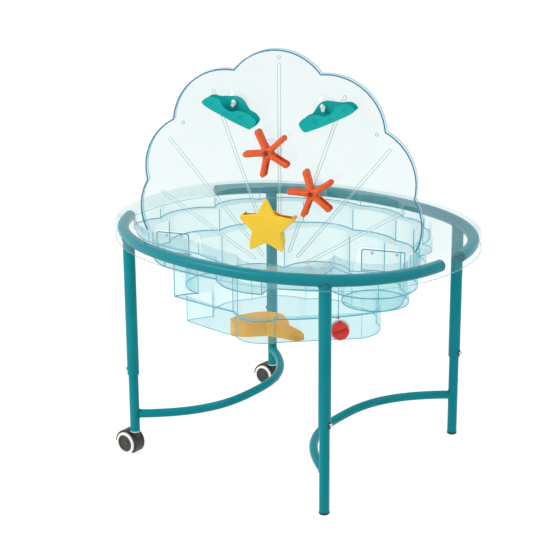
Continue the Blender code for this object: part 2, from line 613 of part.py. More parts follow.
for nm, start in (("starfish_upper", 43.0), ("starfish_lower", 33.5)):
    u, z = HUBS[nm]
    m = on_panel(u, z) @ Matrix.Rotation(radians(start), 4, "Z")
    s = plate(nm, starfish_outline(STAR_R, ARM_W, 0.0150), 0.0185, 0.0500, m)
    # each arm is a channel: grooved along its trailing side and out through its end
    for k in range(5):
        a = m @ Matrix.Rotation(2 * pi * k / 5, 4, "Z")
        cut(s, box("groove_%s_%d" % (nm, k), (0.0230, 0.0005, 0.0240), (STAR_R + 0.0100, 0.0200, 0.0445), a))
    cut(s, cylinder("bore_" + nm, POST_R + GAP + 0.0002, 0.06, m, 16, start=0.0),
        cylinder("recess_" + nm, 0.0090, 0.01, m, 20, start=0.0450))
    finish(recentre(s, on_panel(u, z, 0.034).translation), nm, ORANGE)

# ------------------------------------------------------------------ star-shaped tipping bucket
def star_outline(ro, ri, tip_r, root_r):
    """Five-pointed star with rounded tips and softened roots, one tip along +Y."""
    raw = []
    for k in range(10):
        a = pi / 2 + pi * k / 5
        r = ro if k % 2 == 0 else ri
        raw.append(Vector((r * cos(a), r * sin(a))))
    pts = []
    for k in range(10):
        p, c, n = raw[k - 1], raw[k], raw[(k + 1) % 10]
        e1, e2 = (p - c).normalized(), (n - c).normalized()
        half = e1.angle(e2) / 2
        rad = tip_r if k % 2 == 0 else root_r
        t = rad / tan(half)
        a, b = c + e1 * t, c + e2 * t
        steps = 5 if k % 2 == 0 else 3
        for i in range(steps + 1):
            w = i / steps
            pts.append(tuple(a * (1 - w) ** 2 + c * 2 * w * (1 - w) + b * w ** 2))
    return pts


BU, BZ = HUBS["star_bucket"]
bm_ = on_panel(BU, BZ)
BUCKET = (0.0160, 0.0620)
outer = star_outline(0.0845, 0.0420, 0.0085, 0.010)
s = plate("star_bucket", outer, BUCKET[0], BUCKET[1], bm_)
inner = offset(outer, -0.0026)
cut(s, plate("bucket_inside", inner, BUCKET[0] + 0.0026, BUCKET[1] - 0.0026, bm_))
# the mouth: the side walls are open from one side arm's tip to the other, and the back
# plate stops short of the top arm
mouth = [(-0.0660, 0.0185), (-0.0235, 0.0275), (0.0235, 0.0275), (0.0660, 0.0185), (0.0660, 0.1000), (-0.0660, 0.1000)]
cut(s, plate("bucket_mouth", mouth, BUCKET[0] + 0.0026, BUCKET[1] - 0.0028, bm_),
    plate("bucket_back_top", [(-0.0600, 0.0310), (0.0600, 0.0310), (0.0600, 0.1000), (-0.0600, 0.1000)],
          BUCKET[0] - 0.003, BUCKET[0] + 0.0030, bm_))
cut(s, cylinder("bucket_bore", POST_R + GAP + 0.0002, 0.016, bm_, 16, start=0.010))
finish(recentre(s, on_panel(BU, BZ, 0.039).translation), "star_bucket", YELLOW)

# ------------------------------------------------------------------ chutes
# outline of the left chute's front and back walls about its post, high end on the left
CH_TOP = [(-0.0750, 0.0040), (-0.0640, 0.0165), (-0.0500, 0.0190), (-0.0370, 0.0165), (-0.0167, 0.0175), (0.0060, 0.0185),
          (0.0200, 0.0140), (0.0300, 0.0045), (0.0430, -0.0150), (0.0585, -0.0238), (0.0697, -0.0395)]
CH_LOW = [(0.0553, -0.0579), (0.0350, -0.0525), (0.0050, -0.0400), (-0.0300, -0.0235), (-0.0600, -0.0085)]
# the front wall's upper edge dips so that the post can be reached
CH_DIP = [(-0.0376, 0.0165), (-0.0262, 0.0122), (-0.0179, -0.0037), (0.0019, -0.0151), (0.0247, -0.0121),
          (0.0416, -0.0166), (0.0585, -0.0238)]
CH_SHIFT = {"chute_left": 0.0, "chute_right": 0.0155}
CH_D0, CH_D1, CH_T = 0.0170, 0.0560, 0.0026
for nm, sgn in (("chute_left", 1), ("chute_right", -1)):
    u, z = HUBS[nm]
    m = on_panel(u, z)
    dx = CH_SHIFT[nm]
    pts = [(sgn * x + dx, y) for x, y in CH_TOP + CH_LOW]
    pts = pts[::-1] if sgn > 0 else pts
    c = plate(nm, pts, CH_D0, CH_D1, m)
    floor_line = [(x - 0.0010, y + 0.0030) for x, y in CH_LOW]
    hollow = [(floor_line[0][0] + 0.030, floor_line[0][1] - 0.007)] + floor_line + [(-0.0720, 0.0010), (-0.0900, 0.0200), (-0.0900, 0.0500), (0.1000, 0.0500)]
    hollow = [(sgn * x + dx, y) for x, y in hollow]
    hollow = hollow[::-1] if sgn > 0 else hollow
    cut(c, plate(nm + "_hollow", hollow, CH_D0 + CH_T, CH_D1 - CH_T, m))
    dip = CH_DIP + [(0.0800, -0.0150), (0.0800, 0.0600), (-0.0376, 0.0600)]
    dip = [(sgn * x + dx, y) for x, y in dip]
    dip = dip if sgn > 0 else dip[::-1]
    cut(c, plate(nm + "_dip", dip, CH_D1 - CH_T - 0.0010, CH_D1 + 0.010, m))
    cut(c, cylinder(nm + "_bore", POST_R + GAP + 0.0002, 0.016, m, 16, start=0.010))
    finish(recentre(c, on_panel(u, z, 0.036).translation), nm, TEAL_PLASTIC)

# ------------------------------------------------------------------ loose block on the basin floor
FISH = [(-0.083, -0.180, 0.25), (-0.060, -0.196, 0.20), (-0.020, -0.178, 0.0), (0.012, -0.146, 0.06), (0.050, -0.138, 0.06),
        (0.096, -0.134, 0.25), (0.108, -0.112, 0.25), (0.088, -0.098, 0.0), (0.055, -0.102, 0.10), (0.020, -0.076, 0.30),
        (-0.050, -0.088, 0.20)]
fish = plate("fish_block", lobed(FISH, 0.012), Z4 + GAP, Z4 + 0.040)
# the tail thins out towards its end
slope = Matrix.Translation((0.010, -0.120, Z4 + 0.0405)) @ Matrix.Rotation(radians(17.0), 4, "Y")
cut(fish, box("tail_slope", (0.0, -0.1, 0.0), (0.16, 0.1, 0.06), slope))
finish(recentre(fish, (-0.01, -0.14, Z4 + 0.02)), "fish_block", AMBER)
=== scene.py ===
import json
from math import atan, atan2, ceil, cos, hypot, pi, radians, sin, sqrt, tan

import bmesh
import bpy
from mathutils import Matrix, Vector, noise


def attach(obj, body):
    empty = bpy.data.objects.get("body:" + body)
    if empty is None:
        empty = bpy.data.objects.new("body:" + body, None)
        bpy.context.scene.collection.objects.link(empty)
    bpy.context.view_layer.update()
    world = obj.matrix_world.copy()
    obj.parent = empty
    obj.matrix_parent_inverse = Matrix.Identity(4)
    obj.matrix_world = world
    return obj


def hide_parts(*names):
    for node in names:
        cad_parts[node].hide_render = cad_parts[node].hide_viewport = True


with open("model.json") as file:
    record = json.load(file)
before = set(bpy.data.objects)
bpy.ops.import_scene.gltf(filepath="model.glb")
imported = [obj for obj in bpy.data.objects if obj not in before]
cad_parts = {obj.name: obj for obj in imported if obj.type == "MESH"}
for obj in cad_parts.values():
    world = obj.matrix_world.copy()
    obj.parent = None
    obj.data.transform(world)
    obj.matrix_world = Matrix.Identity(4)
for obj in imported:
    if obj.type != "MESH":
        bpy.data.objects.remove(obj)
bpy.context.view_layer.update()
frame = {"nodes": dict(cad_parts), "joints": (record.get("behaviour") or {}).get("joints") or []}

NODES = frame["nodes"]
JOINTS = {j["name"]: j for j in frame["joints"]}
SCENE = bpy.context.scene

# ------------------------------------------------------------------ dimensions shared with the CAD, metres
GAP, WALL = 0.0003, 0.0035
RIM_A, RIM_B, RIM_N, RIM_Z = 0.501, 0.4127, 2.22, 0.6376
SKIRT_Z = 0.596
Z1, Z2, Z3, Z4 = 0.603, 0.540, 0.435, 0.362
RING_R, LEG_R, LOWER_R = 0.0155, 0.016, 0.0132
RING_INSET = WALL + GAP + LEG_R + 0.0008
RING_Z = RIM_Z - WALL - GAP - RING_R
LEG_X = 0.316
UPPER_LEG_END, LOWER_TOP, SCREW_Z, HOLE_PITCH = 0.233, 0.392, 0.246, 0.085
BRACE_Z, BRACE_R, BRACE_BOW = 0.117, 0.0115, 0.165
WHEEL_R, WHEEL_W, HUB_R, WHEEL_IN = 0.031, 0.0185, 0.0235, 0.0052
CASTER_TRAIL, CASTER_TOP = 0.020, 0.0655
HOOD_R, HOOD_W, HOOD_WEB = 0.0362, 0.0205, 0.0042
PANEL_YAW, PANEL_Y, PANEL_U, PANEL_LIP = radians(19.0), -0.075, -0.003, 0.020
DRAIN_Z = 0.3935

OPENING = [
    (0.249, -0.179, 1.04), (0.372, 0.028, 0.50), (0.323, 0.125, 0.25), (0.244, 0.258, 0.30),
    (0.140, 0.316, 0.32), (-0.022, 0.346, 0.24), (-0.200, 0.318, 0.26), (-0.300, 0.236, 0.50),
    (-0.352, 0.092, 0.40), (-0.403, -0.085, 0.50), (-0.374, -0.217, 0.16), (-0.276, -0.280, 0.06),
    (-0.100, -0.288, 0.08), (0.050, -0.318, 0.853)]
LEDGE_2 = [
    (0.240, -0.180, 1.02), (0.345, 0.030, 0.38), (0.300, 0.118, 0.22), (0.226, 0.236, 0.28),
    (0.134, 0.290, 0.28), (-0.022, 0.308, 0.36), (-0.182, 0.290, 0.22), (-0.262, 0.222, 0.36),
    (-0.330, 0.085, 0.46), (-0.368, -0.090, 0.30), (-0.336, -0.196, 0.16), (-0.232, -0.270, 0.05),
    (-0.055, -0.274, 0.34), (0.118, -0.305, 0.0), (0.104, -0.256, 0.05)]
LEDGE_3 = [
    (-0.258, -0.205, 0.03), (-0.050, -0.213, 0.05), (-0.018, -0.234, 0.55), (0.082, -0.196, 0.05),
    (0.200, -0.086, 0.06), (0.262, 0.008, 0.34), (0.262, 0.132, 0.30), (0.205, 0.205, 0.32),
    (0.120, 0.256, 0.42), (0.003, 0.256, 0.80), (-0.168, 0.176, 0.62), (-0.290, 0.044, 0.62),
    (-0.222, -0.150, 0.16)]
FLOOR_4 = [
    (-0.238, -0.178, 0.04), (-0.050, -0.200, 0.46), (0.062, -0.178, 0.0), (0.228, -0.018, 0.42),
    (0.190, 0.110, 0.36), (0.060, 0.185, 0.40), (-0.080, 0.160, 0.40), (-0.205, 0.070, 0.46),
    (-0.200, -0.110, 0.10)]
BOWL = (0.3155, -0.0915, 0.0862, 0.505)


# ------------------------------------------------------------------ outlines
def arc(p, q, bulge, seg):
    dx, dy = q[0] - p[0], q[1] - p[1]
    chord = hypot(dx, dy)
    if bulge < 0.015:
        n = max(1, round(chord / seg))
        return [(p[0] + dx * i / n, p[1] + dy * i / n) for i in range(n)]
    sweep = 4 * atan(bulge)
    rad = chord / (2 * sin(sweep / 2))
    rx, ry = dy / chord, -dx / chord
    cx = (p[0] + q[0]) / 2 - rx * rad * cos(sweep / 2)
    cy = (p[1] + q[1]) / 2 - ry * rad * cos(sweep / 2)
    a0 = atan2(p[1] - cy, p[0] - cx)
    n = max(2, ceil(rad * sweep / seg))
    return [(cx + rad * cos(a0 + sweep * i / n), cy + rad * sin(a0 + sweep * i / n)) for i in range(n)]


def lobed(cusps, seg=0.010):
    pts = []
    for i, (x, y, b) in enumerate(cusps):
        nx, ny, _ = cusps[(i + 1) % len(cusps)]
        pts += arc((x, y), (nx, ny), b, seg)
    return pts


def offset(pts, d):
    out = []
    n = len(pts)
    for i in range(n):
        a, b, c = Vector(pts[i - 1]), Vector(pts[i]), Vector(pts[(i + 1) % n])
        e1, e2 = (b - a).normalized(), (c - b).normalized()
        n1, n2 = Vector((e1.y, -e1.x)), Vector((e2.y, -e2.x))
        m = (n1 + n2).normalized()
        k = d / max(m.dot(n1), 0.35)
        out.append((b.x + m.x * k, b.y + m.y * k))
    return out


def rim_point(t, inset=0.0):
    c, s = cos(t), sin(t)
    x = RIM_A * abs(c) ** (2 / RIM_N) * (1 if c >= 0 else -1)
    y = RIM_B * abs(s) ** (2 / RIM_N) * (1 if s >= 0 else -1)
    gx = abs(x / RIM_A) ** (RIM_N - 1) / RIM_A * (1 if x >= 0 else -1)
    gy = abs(y / RIM_B) ** (RIM_N - 1) / RIM_B * (1 if y >= 0 else -1)
    g = hypot(gx, gy)
    return x - inset * gx / g, y - inset * gy / g


def rim_param(angle):
    t = atan((abs(tan(angle)) * RIM_A / RIM_B) ** (RIM_N / 2))
    a = angle % (2 * pi)
    return t if a <= pi / 2 else pi - t if a <= pi else pi + t if a <= 3 * pi / 2 else 2 * pi - t


def rim_outline(inset, n=220):
    return [rim_point(rim_param(2 * pi * (i + 0.5) / n), inset) for i in range(n)]


def leg_y():
    lo, hi = 0.3, pi / 2 - 0.05
    for _ in range(60):
        mid = (lo + hi) / 2
        if rim_point(mid, RING_INSET)[0] > LEG_X:
            lo = mid
        else:
            hi = mid
    return rim_point(lo, RING_INSET)[1]


LEG_Y = leg_y()
LEGS = {"front": (LEG_X, -LEG_Y), "left": (-LEG_X, -LEG_Y), "right": (LEG_X, LEG_Y), "back": (-LEG_X, LEG_Y)}


def frame_at(origin, x, y, z):
    m = Matrix((Vector(x), Vector(y), Vector(z))).transposed().to_4x4()
    m.translation = Vector(origin)
    return m


_p, _q = Vector(FLOOR_4[2][:2]), Vector(FLOOR_4[3][:2])
_e = (_q - _p).normalized()
_c = _p + _e * ((_q - _p).length * 0.735)
DRAIN = frame_at((_c.x, _c.y, DRAIN_Z), (_e.x, _e.y, 0), (0, 0, 1), (_e.y, -_e.x, 0.0))
PE = Vector((cos(PANEL_YAW), sin(PANEL_YAW), 0))
PN = Vector((sin(PANEL_YAW), -cos(PANEL_YAW), 0))
PO = Vector((0, PANEL_Y, 0)) + PE * PANEL_U
PANEL = frame_at(PO, PE, (0, 0, 1), PN)


def on_panel(u, z, depth=0.0):
    return PANEL @ Matrix.Translation((u, z, depth))


# ------------------------------------------------------------------ materials
def lin(h):
    h = h.lstrip("#")
    v = [int(h[i:i + 2], 16) / 255 for i in (0, 2, 4)]
    return tuple(x / 12.92 if x <= 0.04045 else ((x + 0.055) / 1.055) ** 2.4 for x in v)


class Nodes:
    """Short hand for building a node tree."""

    def __init__(self, name):
        self.mat = bpy.data.materials.new(name)
        self.mat.use_nodes = True
        self.nt = self.mat.node_tree
        self.nt.nodes.clear()
        self.out = self.nt.nodes.new("ShaderNodeOutputMaterial")
        self.tc = self.nt.nodes.new("ShaderNodeTexCoord")

    def put(self, kind, inputs=None, **props):
        n = self.nt.nodes.new("ShaderNode" + kind)
        for k, v in props.items():
            setattr(n, k, v)
        for k, v in (inputs or {}).items():
            self.set(n.inputs[k], v)
        return n

    def set(self, sock, v):
        if isinstance(v, bpy.types.NodeSocket):
            self.nt.links.new(v, sock)
        elif isinstance(v, (tuple, list)) and len(v) == 3 and sock.type == "RGBA":
            sock.default_value = (*v, 1)
        else:
            sock.default_value = v

    def math(self, op, a, b=0.0, clamp=False):
        n = self.put("Math", {0: a, 1: b}, operation=op)
        n.use_clamp = clamp
        return n.outputs[0]

    def noise(self, scale, detail=3.0, rough=0.5, dims=None):
        n = self.put("TexNoise", {"Scale": scale, "Detail": detail, "Roughness": rough})
        self.nt.links.new(self.tc.outputs["Object"], n.inputs["Vector"])
        return n.outputs["Fac"]

    def ramp(self, fac, lo, hi, a=0.0, b=1.0):
        n = self.put("MapRange", {"Value": fac, "From Min": lo, "From Max": hi, "To Min": a, "To Max": b})
        return n.outputs["Result"]

    def mix(self, fac, a, b):
        n = self.put("Mix", data_type="RGBA")
        self.set(n.inputs[0], fac)
        self.set(n.inputs[6], a)
        self.set(n.inputs[7], b)
        return n.outputs[2]

    def bump(self, height, strength, dist):
        return self.put("Bump", {"Height": height, "Strength": strength, "Distance": dist}).outputs["Normal"]

    def finish(self, shader):
        self.nt.links.new(shader, self.out.inputs["Surface"])
        return self.mat


def moulded(name, col, rough=0.35, deep=0.86, pale=1.06, blotch=14.0, grain=900.0, grain_h=0.00006,
            metal=0.0, coat=0.0, sss=0.0, ior=1.49, pits_with_painted_shade=None, spec=0.5):
    """A moulded or coated surface: slow colour drift, a fine grain in the gloss and a shallow relief."""
    k = Nodes(name)
    dark = tuple(c * deep for c in col)
    light = tuple(min(1.0, c * pale + 0.004) for c in col)
    drift = k.ramp(k.noise(blotch, 4.0, 0.55), 0.32, 0.68)
    colour = k.mix(drift, dark, light)
    fine = k.noise(grain, 2.0, 0.6)
    speck = k.ramp(fine, 0.35, 0.65, 0.965, 1.03)
    colour = k.put("VectorMath", {0: colour, "Scale": speck}, operation="SCALE").outputs[0]
    rg = k.ramp(k.noise(blotch * 5, 3.0), 0.3, 0.7, rough - 0.05, rough + 0.07)
    normal = k.bump(fine, 0.6, grain_h)
    if pits_with_painted_shade:
        v = k.put("TexVoronoi", {"Scale": pits_with_painted_shade[0]}, feature="F1")
        k.nt.links.new(k.tc.outputs["Object"], v.inputs["Vector"])
        cup = k.ramp(v.outputs["Distance"], 0.05, 0.45)
        # the pit hollows are darkened towards the dark tone: painted shade; the bump below gives the real pitted relief
        colour = k.mix(k.math("MULTIPLY", k.math("SUBTRACT", 1.0, cup), pits_with_painted_shade[2]), colour, dark)
        n2 = k.put("Bump", {"Height": cup, "Strength": 0.7, "Distance": pits_with_painted_shade[1], "Normal": normal})
        normal = n2.outputs["Normal"]
    b = k.put("BsdfPrincipled", {"Base Color": colour, "Roughness": rg, "Metallic": metal, "IOR": ior,
                                 "Normal": normal, "Coat Weight": coat, "Coat Roughness": 0.12, "Specular IOR Level": spec})
    if sss:
        b.inputs["Subsurface Weight"].default_value = sss
        b.inputs["Subsurface Radius"].default_value = (0.004, 0.003, 0.002)
        b.inputs["Subsurface Scale"].default_value = 1.0
    return k.finish(b.outputs[0])


def clear(name, thin=(0.85, 0.94, 0.945), deep=(0.06, 0.42, 0.56), base=0.04, body=(0.60, 0.86, 0.88), edge_solid=0.70,
          grazing=0.40, rough=0.05, gloss=0.80, floor_gloss=0.03):
    """Clear tinted plastic sheet: paler face-on, deeper towards grazing angles and along the mesh's 'edge' attribute,
    and nearly colourless where the mesh's 'calm' attribute is 1."""
    k = Nodes(name)
    face = k.put("LayerWeight", {"Blend": 0.5}).outputs["Facing"]
    graze = k.math("POWER", face, 2.6)
    edge = k.put("Attribute", attribute_name="edge").outputs["Fac"]
    calm = k.put("Attribute", attribute_name="calm").outputs["Fac"]
    live = k.math("SUBTRACT", 1.0, k.math("MULTIPLY", calm, 0.85))
    flow = k.ramp(k.noise(7.0, 4.0, 0.6), 0.3, 0.7, -0.02, 0.035)
    depth = k.math("ADD", k.math("ADD", k.math("MULTIPLY", graze, grazing), flow), 0.0, clamp=True)
    depth = k.math("ADD", k.math("MULTIPLY", depth, live), edge, clamp=True)
    face_on = k.mix(calm, thin, (0.925, 0.968, 0.972))
    tint = k.mix(depth, face_on, deep)
    solid = k.math("ADD", k.math("MULTIPLY", graze, 0.14), base)
    solid = k.math("ADD", k.math("MULTIPLY", solid, live), k.math("MULTIPLY", edge, edge_solid), clamp=True)
    ripple = k.bump(k.noise(26.0, 3.0, 0.5), 0.35, 0.0006)
    rg = k.ramp(k.noise(60.0, 3.0), 0.3, 0.7, rough * 0.6, rough * 1.8)
    tr = k.put("BsdfTransparent", {"Color": tint}).outputs[0]
    pigment = k.mix(depth, body, deep)
    df = k.put("BsdfPrincipled", {"Base Color": pigment, "Roughness": 0.35, "Normal": ripple, "IOR": 1.45}).outputs[0]
    m1 = k.put("MixShader", {0: solid, 1: tr, 2: df}).outputs[0]
    fres = k.math("ADD", k.math("MULTIPLY", k.math("POWER", face, 4.0), gloss), k.math("MULTIPLY", live, floor_gloss))
    flange = k.math("MULTIPLY", calm, k.math("SUBTRACT", 1.0, calm))
    fres = k.math("ADD", fres, k.math("MULTIPLY", k.math("MULTIPLY", flange, graze), 1.1), clamp=True)
    gl = k.put("BsdfGlossy", {"Color": (0.90, 0.985, 1.0), "Roughness": rg, "Normal": ripple}).outputs[0]
    m2 = k.put("MixShader", {0: fres, 1: m1, 2: gl}).outputs[0]
    return k.finish(m2)


CLEAR = clear("clear_tub", thin=(0.87, 0.965, 0.965), base=0.035, body=(0.70, 0.93, 0.94), gloss=0.40)
CLEAR_PANEL = clear("clear_panel", thin=(0.835, 0.905, 0.900), deep=(0.06, 0.36, 0.60), base=0.03, body=(0.80, 0.90, 0.90), grazing=0.30,
                    edge_solid=0.25, gloss=0.5)
CLEAR_SKIRT = clear("clear_skirt_edge", thin=(0.72, 0.84, 0.85), deep=(0.35, 0.60, 0.64), base=0.12, body=(0.62, 0.76, 0.77), grazing=0.5)
CLEAR_BEAD = clear("clear_edge", thin=(0.04, 0.48, 0.62), deep=(0.01, 0.36, 0.50), base=0.78, body=lin("#0e86ac"), grazing=0.4, gloss=0.10)
CLEAR_EDGE = clear("clear_corner_line", thin=(0.06, 0.62, 0.72), deep=(0.03, 0.48, 0.62), base=0.80, body=lin("#27aac6"), grazing=0.4, gloss=0.10)
CLEAR_SOFT = clear("clear_corner_line_soft", thin=(0.45, 0.78, 0.82), deep=(0.20, 0.58, 0.66), base=0.25, body=lin("#6fc6d0"), grazing=0.4, gloss=0.12)
CLEAR_HEAD = clear("clear_head", thin=(0.88, 0.80, 0.78), deep=(0.45, 0.35, 0.33), base=0.04, body=(0.6, 0.3, 0.2), grazing=0.6, gloss=0.4)
CLEAR_LIP = clear("clear_lip", thin=(0.66, 0.84, 0.89), deep=(0.22, 0.52, 0.64), base=0.20, body=(0.52, 0.78, 0.84), grazing=0.6)
CLEAR_RIB = clear("clear_rib", thin=(0.95, 0.98, 0.98), deep=(0.60, 0.78, 0.80), base=0.16, body=(0.97, 0.99, 0.99), grazing=0.3)
RIB_LINE = clear("clear_rib_flank", thin=(0.46, 0.68, 0.70), deep=(0.26, 0.50, 0.54), base=0.50, body=(0.34, 0.56, 0.59), grazing=0.3, gloss=0.2)
CLEAR_CUP = clear("clear_cup", thin=(0.92, 0.955, 0.955), deep=(0.50, 0.66, 0.68), base=0.10, body=(0.86, 0.92, 0.92), grazing=0.75)
CLEAR_KNOB = clear("clear_knob", thin=(0.80, 0.90, 0.90), deep=(0.35, 0.62, 0.62), base=0.62, body=(0.90, 0.95, 0.94), grazing=0.7)
TEAL = moulded("teal_powder_coat", lin("#007a83"), 0.24, 0.97, 1.02, 9.0, 1300.0, 0.00005, coat=0.0, spec=0.08)
WELD = moulded("teal_weld", lin("#026a73"), 0.36, 0.88, 1.05, 60.0, 700.0, 0.0002, spec=0.14)
CHUTE = moulded("turquoise_plastic", lin("#079a96"), 0.34, 0.92, 1.04, 16.0, 700.0, 0.00006, coat=0.0, sss=0.03, spec=0.12)
STARFISH = moulded("orange_plastic", lin("#dd5a2a"), 0.50, 0.84, 1.06, 20.0, 600.0, 0.0001, sss=0.02, pits_with_painted_shade=(300.0, 0.0011, 0.45), spec=0.2)
STAR = moulded("yellow_plastic", lin("#e8bd2f"), 0.42, 0.94, 1.02, 14.0, 650.0, 0.00007, sss=0.08, pits_with_painted_shade=(260.0, 0.0002, 0.08), spec=0.3)
# a darker orange copy of the yellow for the bucket's inside faces: painted shade in the hollow
STAR_PAINTED_SHADE = moulded("yellow_plastic_painted_shade_inside", lin("#d98a1c"), 0.50, 0.92, 1.03, 14.0, 650.0, 0.00007, spec=0.2)
FISH = moulded("amber_plastic", lin("#f0a226"), 0.45, 0.92, 1.04, 12.0, 500.0, 0.0001, pits_with_painted_shade=(210.0, 0.0003, 0.20), spec=0.3)
RED = moulded("red_plastic", lin("#d62a20"), 0.32, 0.90, 1.05, 20.0, 700.0, 0.00006, coat=0.1, spec=0.35)
# a darker copy of the cap's red, for the raised bar: painted shade
RED_PAINTED_SHADE = moulded("red_plastic_bar_painted_shade", lin("#b3201a"), 0.34, 0.90, 1.05, 20.0, 700.0, 0.00006, coat=0.1, spec=0.30)
WHITE = moulded("white_plastic", lin("#dfe4e3"), 0.35, 0.94, 1.02, 18.0, 700.0, 0.00005)
BLACK = moulded("black_plastic", lin("#161719"), 0.34, 0.75, 1.35, 22.0, 900.0, 0.0001)
PLUG = moulded("dark_plug", lin("#045a63"), 0.36, 0.85, 1.15, 22.0, 900.0, 0.0001, spec=0.25)
HUB = moulded("grey_plastic", lin("#2c2d2e"), 0.42, 0.80, 1.2, 25.0, 900.0, 0.0001)
TREAD = moulded("cream_rubber", lin("#e9e6dc"), 0.50, 0.90, 1.02, 30.0, 800.0, 0.0001)
RUBBER = moulded("rubber_seal", lin("#232425"), 0.62, 0.8, 1.2, 30.0, 900.0, 0.0001)
STEEL = moulded("plated_steel", lin("#c9cccd"), 0.20, 0.90, 1.04, 60.0, 1500.0, 0.00003, metal=1.0)


# ------------------------------------------------------------------ mesh helpers
def obj_from(bm, name):
    me = bpy.data.meshes.new(name)
    bm.to_mesh(me)
    bm.free()
    ob = bpy.data.objects.new(name, me)
    SCENE.collection.objects.link(ob)
    return ob


def solid(name, outline, z0, z1, matrix=None):
    """Closed prism of a flat outline."""
    bm = bmesh.new()
    lo = [bm.verts.new((x, y, z0)) for x, y in outline]
    hi = [bm.verts.new((x, y, z1)) for x, y in outline]
    n = len(outline)
    bm.faces.new(lo[::-1])
    bm.faces.new(hi)
    for i in range(n):
        bm.faces.new((lo[i], lo[(i + 1) % n], hi[(i + 1) % n], hi[i]))
    bmesh.ops.recalc_face_normals(bm, faces=bm.faces)
    if matrix is not None:
        bm.transform(matrix)
    return obj_from(bm, name)


def lathe(name, profile, matrix=None, segs=48, closed=False):
    """Turned surface: profile is (radius, height) from the bottom up."""
    bm = bmesh.new()
    rings = []
    for r, z in profile:
        if r < 1e-6:
            rings.append([bm.verts.new((0, 0, z))])
        else:
            rings.append([bm.verts.new((r * cos(2 * pi * i / segs), r * sin(2 * pi * i / segs), z)) for i in range(segs)])
    pairs = list(zip(rings, rings[1:])) + ([(rings[-1], rings[0])] if closed else [])
    for a, b in pairs:
        for i in range(segs):
            j = (i + 1) % segs
            if len(a) == 1:
                bm.faces.new((a[0], b[i], b[j]))
            elif len(b) == 1:
                bm.faces.new((a[i], a[j], b[0]))
            else:
                bm.faces.new((a[i], a[j], b[j], b[i]))
    bmesh.ops.recalc_face_normals(bm, faces=bm.faces)
    if matrix is not None:
        bm.transform(matrix)
    return obj_from(bm, name)


def rounded(profile, r, steps=3):
    """Softens the inner corners of a (radius, height) profile."""
    out = [profile[0]]
    for i in range(1, len(profile) - 1):
        p, c, n = (Vector(profile[i - 1]), Vector(profile[i]), Vector(profile[i + 1]))
        a, b = p - c, n - c
        k = min(r, a.length * 0.45, b.length * 0.45)
        a, b = c + a.normalized() * k, c + b.normalized() * k
        for s in range(steps + 1):
            w = s / steps
            v = a * (1 - w) ** 2 + c * 2 * w * (1 - w) + b * w ** 2
            out.append((v.x, v.y))
    out.append(profile[-1])
    return out


def rod(name, pts, r, sides=28, caps=True, wobble=0.0, closed=False):
    """Round bar along a path, with its own parallel frames."""
    bm = bmesh.new()
    pts = [Vector(p) for p in pts]
    n = len(pts)
    rings = []
    up = None
    for i, p in enumerate(pts):
        if closed:
            t = (pts[(i + 1) % n] - pts[i - 1]).normalized()
        else:
            t = (pts[min(i + 1, n - 1)] - pts[max(i - 1, 0)]).normalized()
        if up is None:
            up = Vector((0, 0, 1)) if abs(t.z) < 0.9 else Vector((1, 0, 0))
        side = t.cross(up).normalized()
        up = side.cross(t).normalized()
        rr = r * (1 + wobble * (noise.noise(p * 260.0) if wobble else 0))
        rings.append([bm.verts.new(p + side * rr * cos(2 * pi * k / sides) + up * rr * sin(2 * pi * k / sides)) for k in range(sides)])
    for a, b in list(zip(rings, rings[1:])) + ([(rings[-1], rings[0])] if closed else []):
        for k in range(sides):
            bm.faces.new((a[k], a[(k + 1) % sides], b[(k + 1) % sides], b[k]))
    if caps and not closed:
        bm.faces.new(rings[0][::-1])
        bm.faces.new(rings[-1])
    bmesh.ops.recalc_face_normals(bm, faces=bm.faces)
    return obj_from(bm, name)


def boolean(ob, other, op="DIFFERENCE", keep=False):
    for tolerant in (False, True):
        m = ob.modifiers.new("b", "BOOLEAN")
        m.operation, m.solver, m.object = op, "EXACT", other
        m.use_self = m.use_hole_tolerant = tolerant
        dg = bpy.context.evaluated_depsgraph_get()
        dg.update()
        me = bpy.data.meshes.new_from_object(ob.evaluated_get(dg))
        ob.modifiers.clear()
        if len(me.polygons) > 5:
            ob.data = me
            break
    else:
        raise SystemExit("a cut emptied " + ob.name)
    if not keep:
        bpy.data.objects.remove(other, do_unlink=True)
    return ob


def soften(ob, width, segs=3, angle=32):
    """Rounds the sharp edges of a mesh."""
    m = ob.modifiers.new("round", "BEVEL")
    m.width, m.segments, m.limit_method, m.angle_limit = width, segs, "ANGLE", radians(angle)
    m.miter_outer = "MITER_ARC"
    m.use_clamp_overlap = True
    dg = bpy.context.evaluated_depsgraph_get()
    dg.update()
    me = bpy.data.meshes.new_from_object(ob.evaluated_get(dg))
    ob.modifiers.clear()
    ob.data = me
    return ob


def merge(*obs):
    """Several meshes in one object, without welding."""
    bm = bmesh.new()
    for o in obs:
        bm.from_mesh(o.data)
    name = obs[0].name
    for o in obs:
        bpy.data.objects.remove(o, do_unlink=True)
    return obj_from(bm, name)


def piece(ob, name, body, mat, slot, *nodes, flat=False, angle=35):
    ob.name = name
    ob.data.name = name
    ob.data.materials.clear()
    ob.data.materials.append(mat)
    for p in ob.data.polygons:
        p.material_index = 0
    if not flat:
        ob.data.shade_smooth()
        ob.data.set_sharp_from_angle(angle=radians(angle))
        w = ob.modifiers.new("even", "WEIGHTED_NORMAL")
        w.keep_sharp = True
        w.weight = 80
    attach(ob, body)
    if nodes:
        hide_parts(*nodes)
    return ob


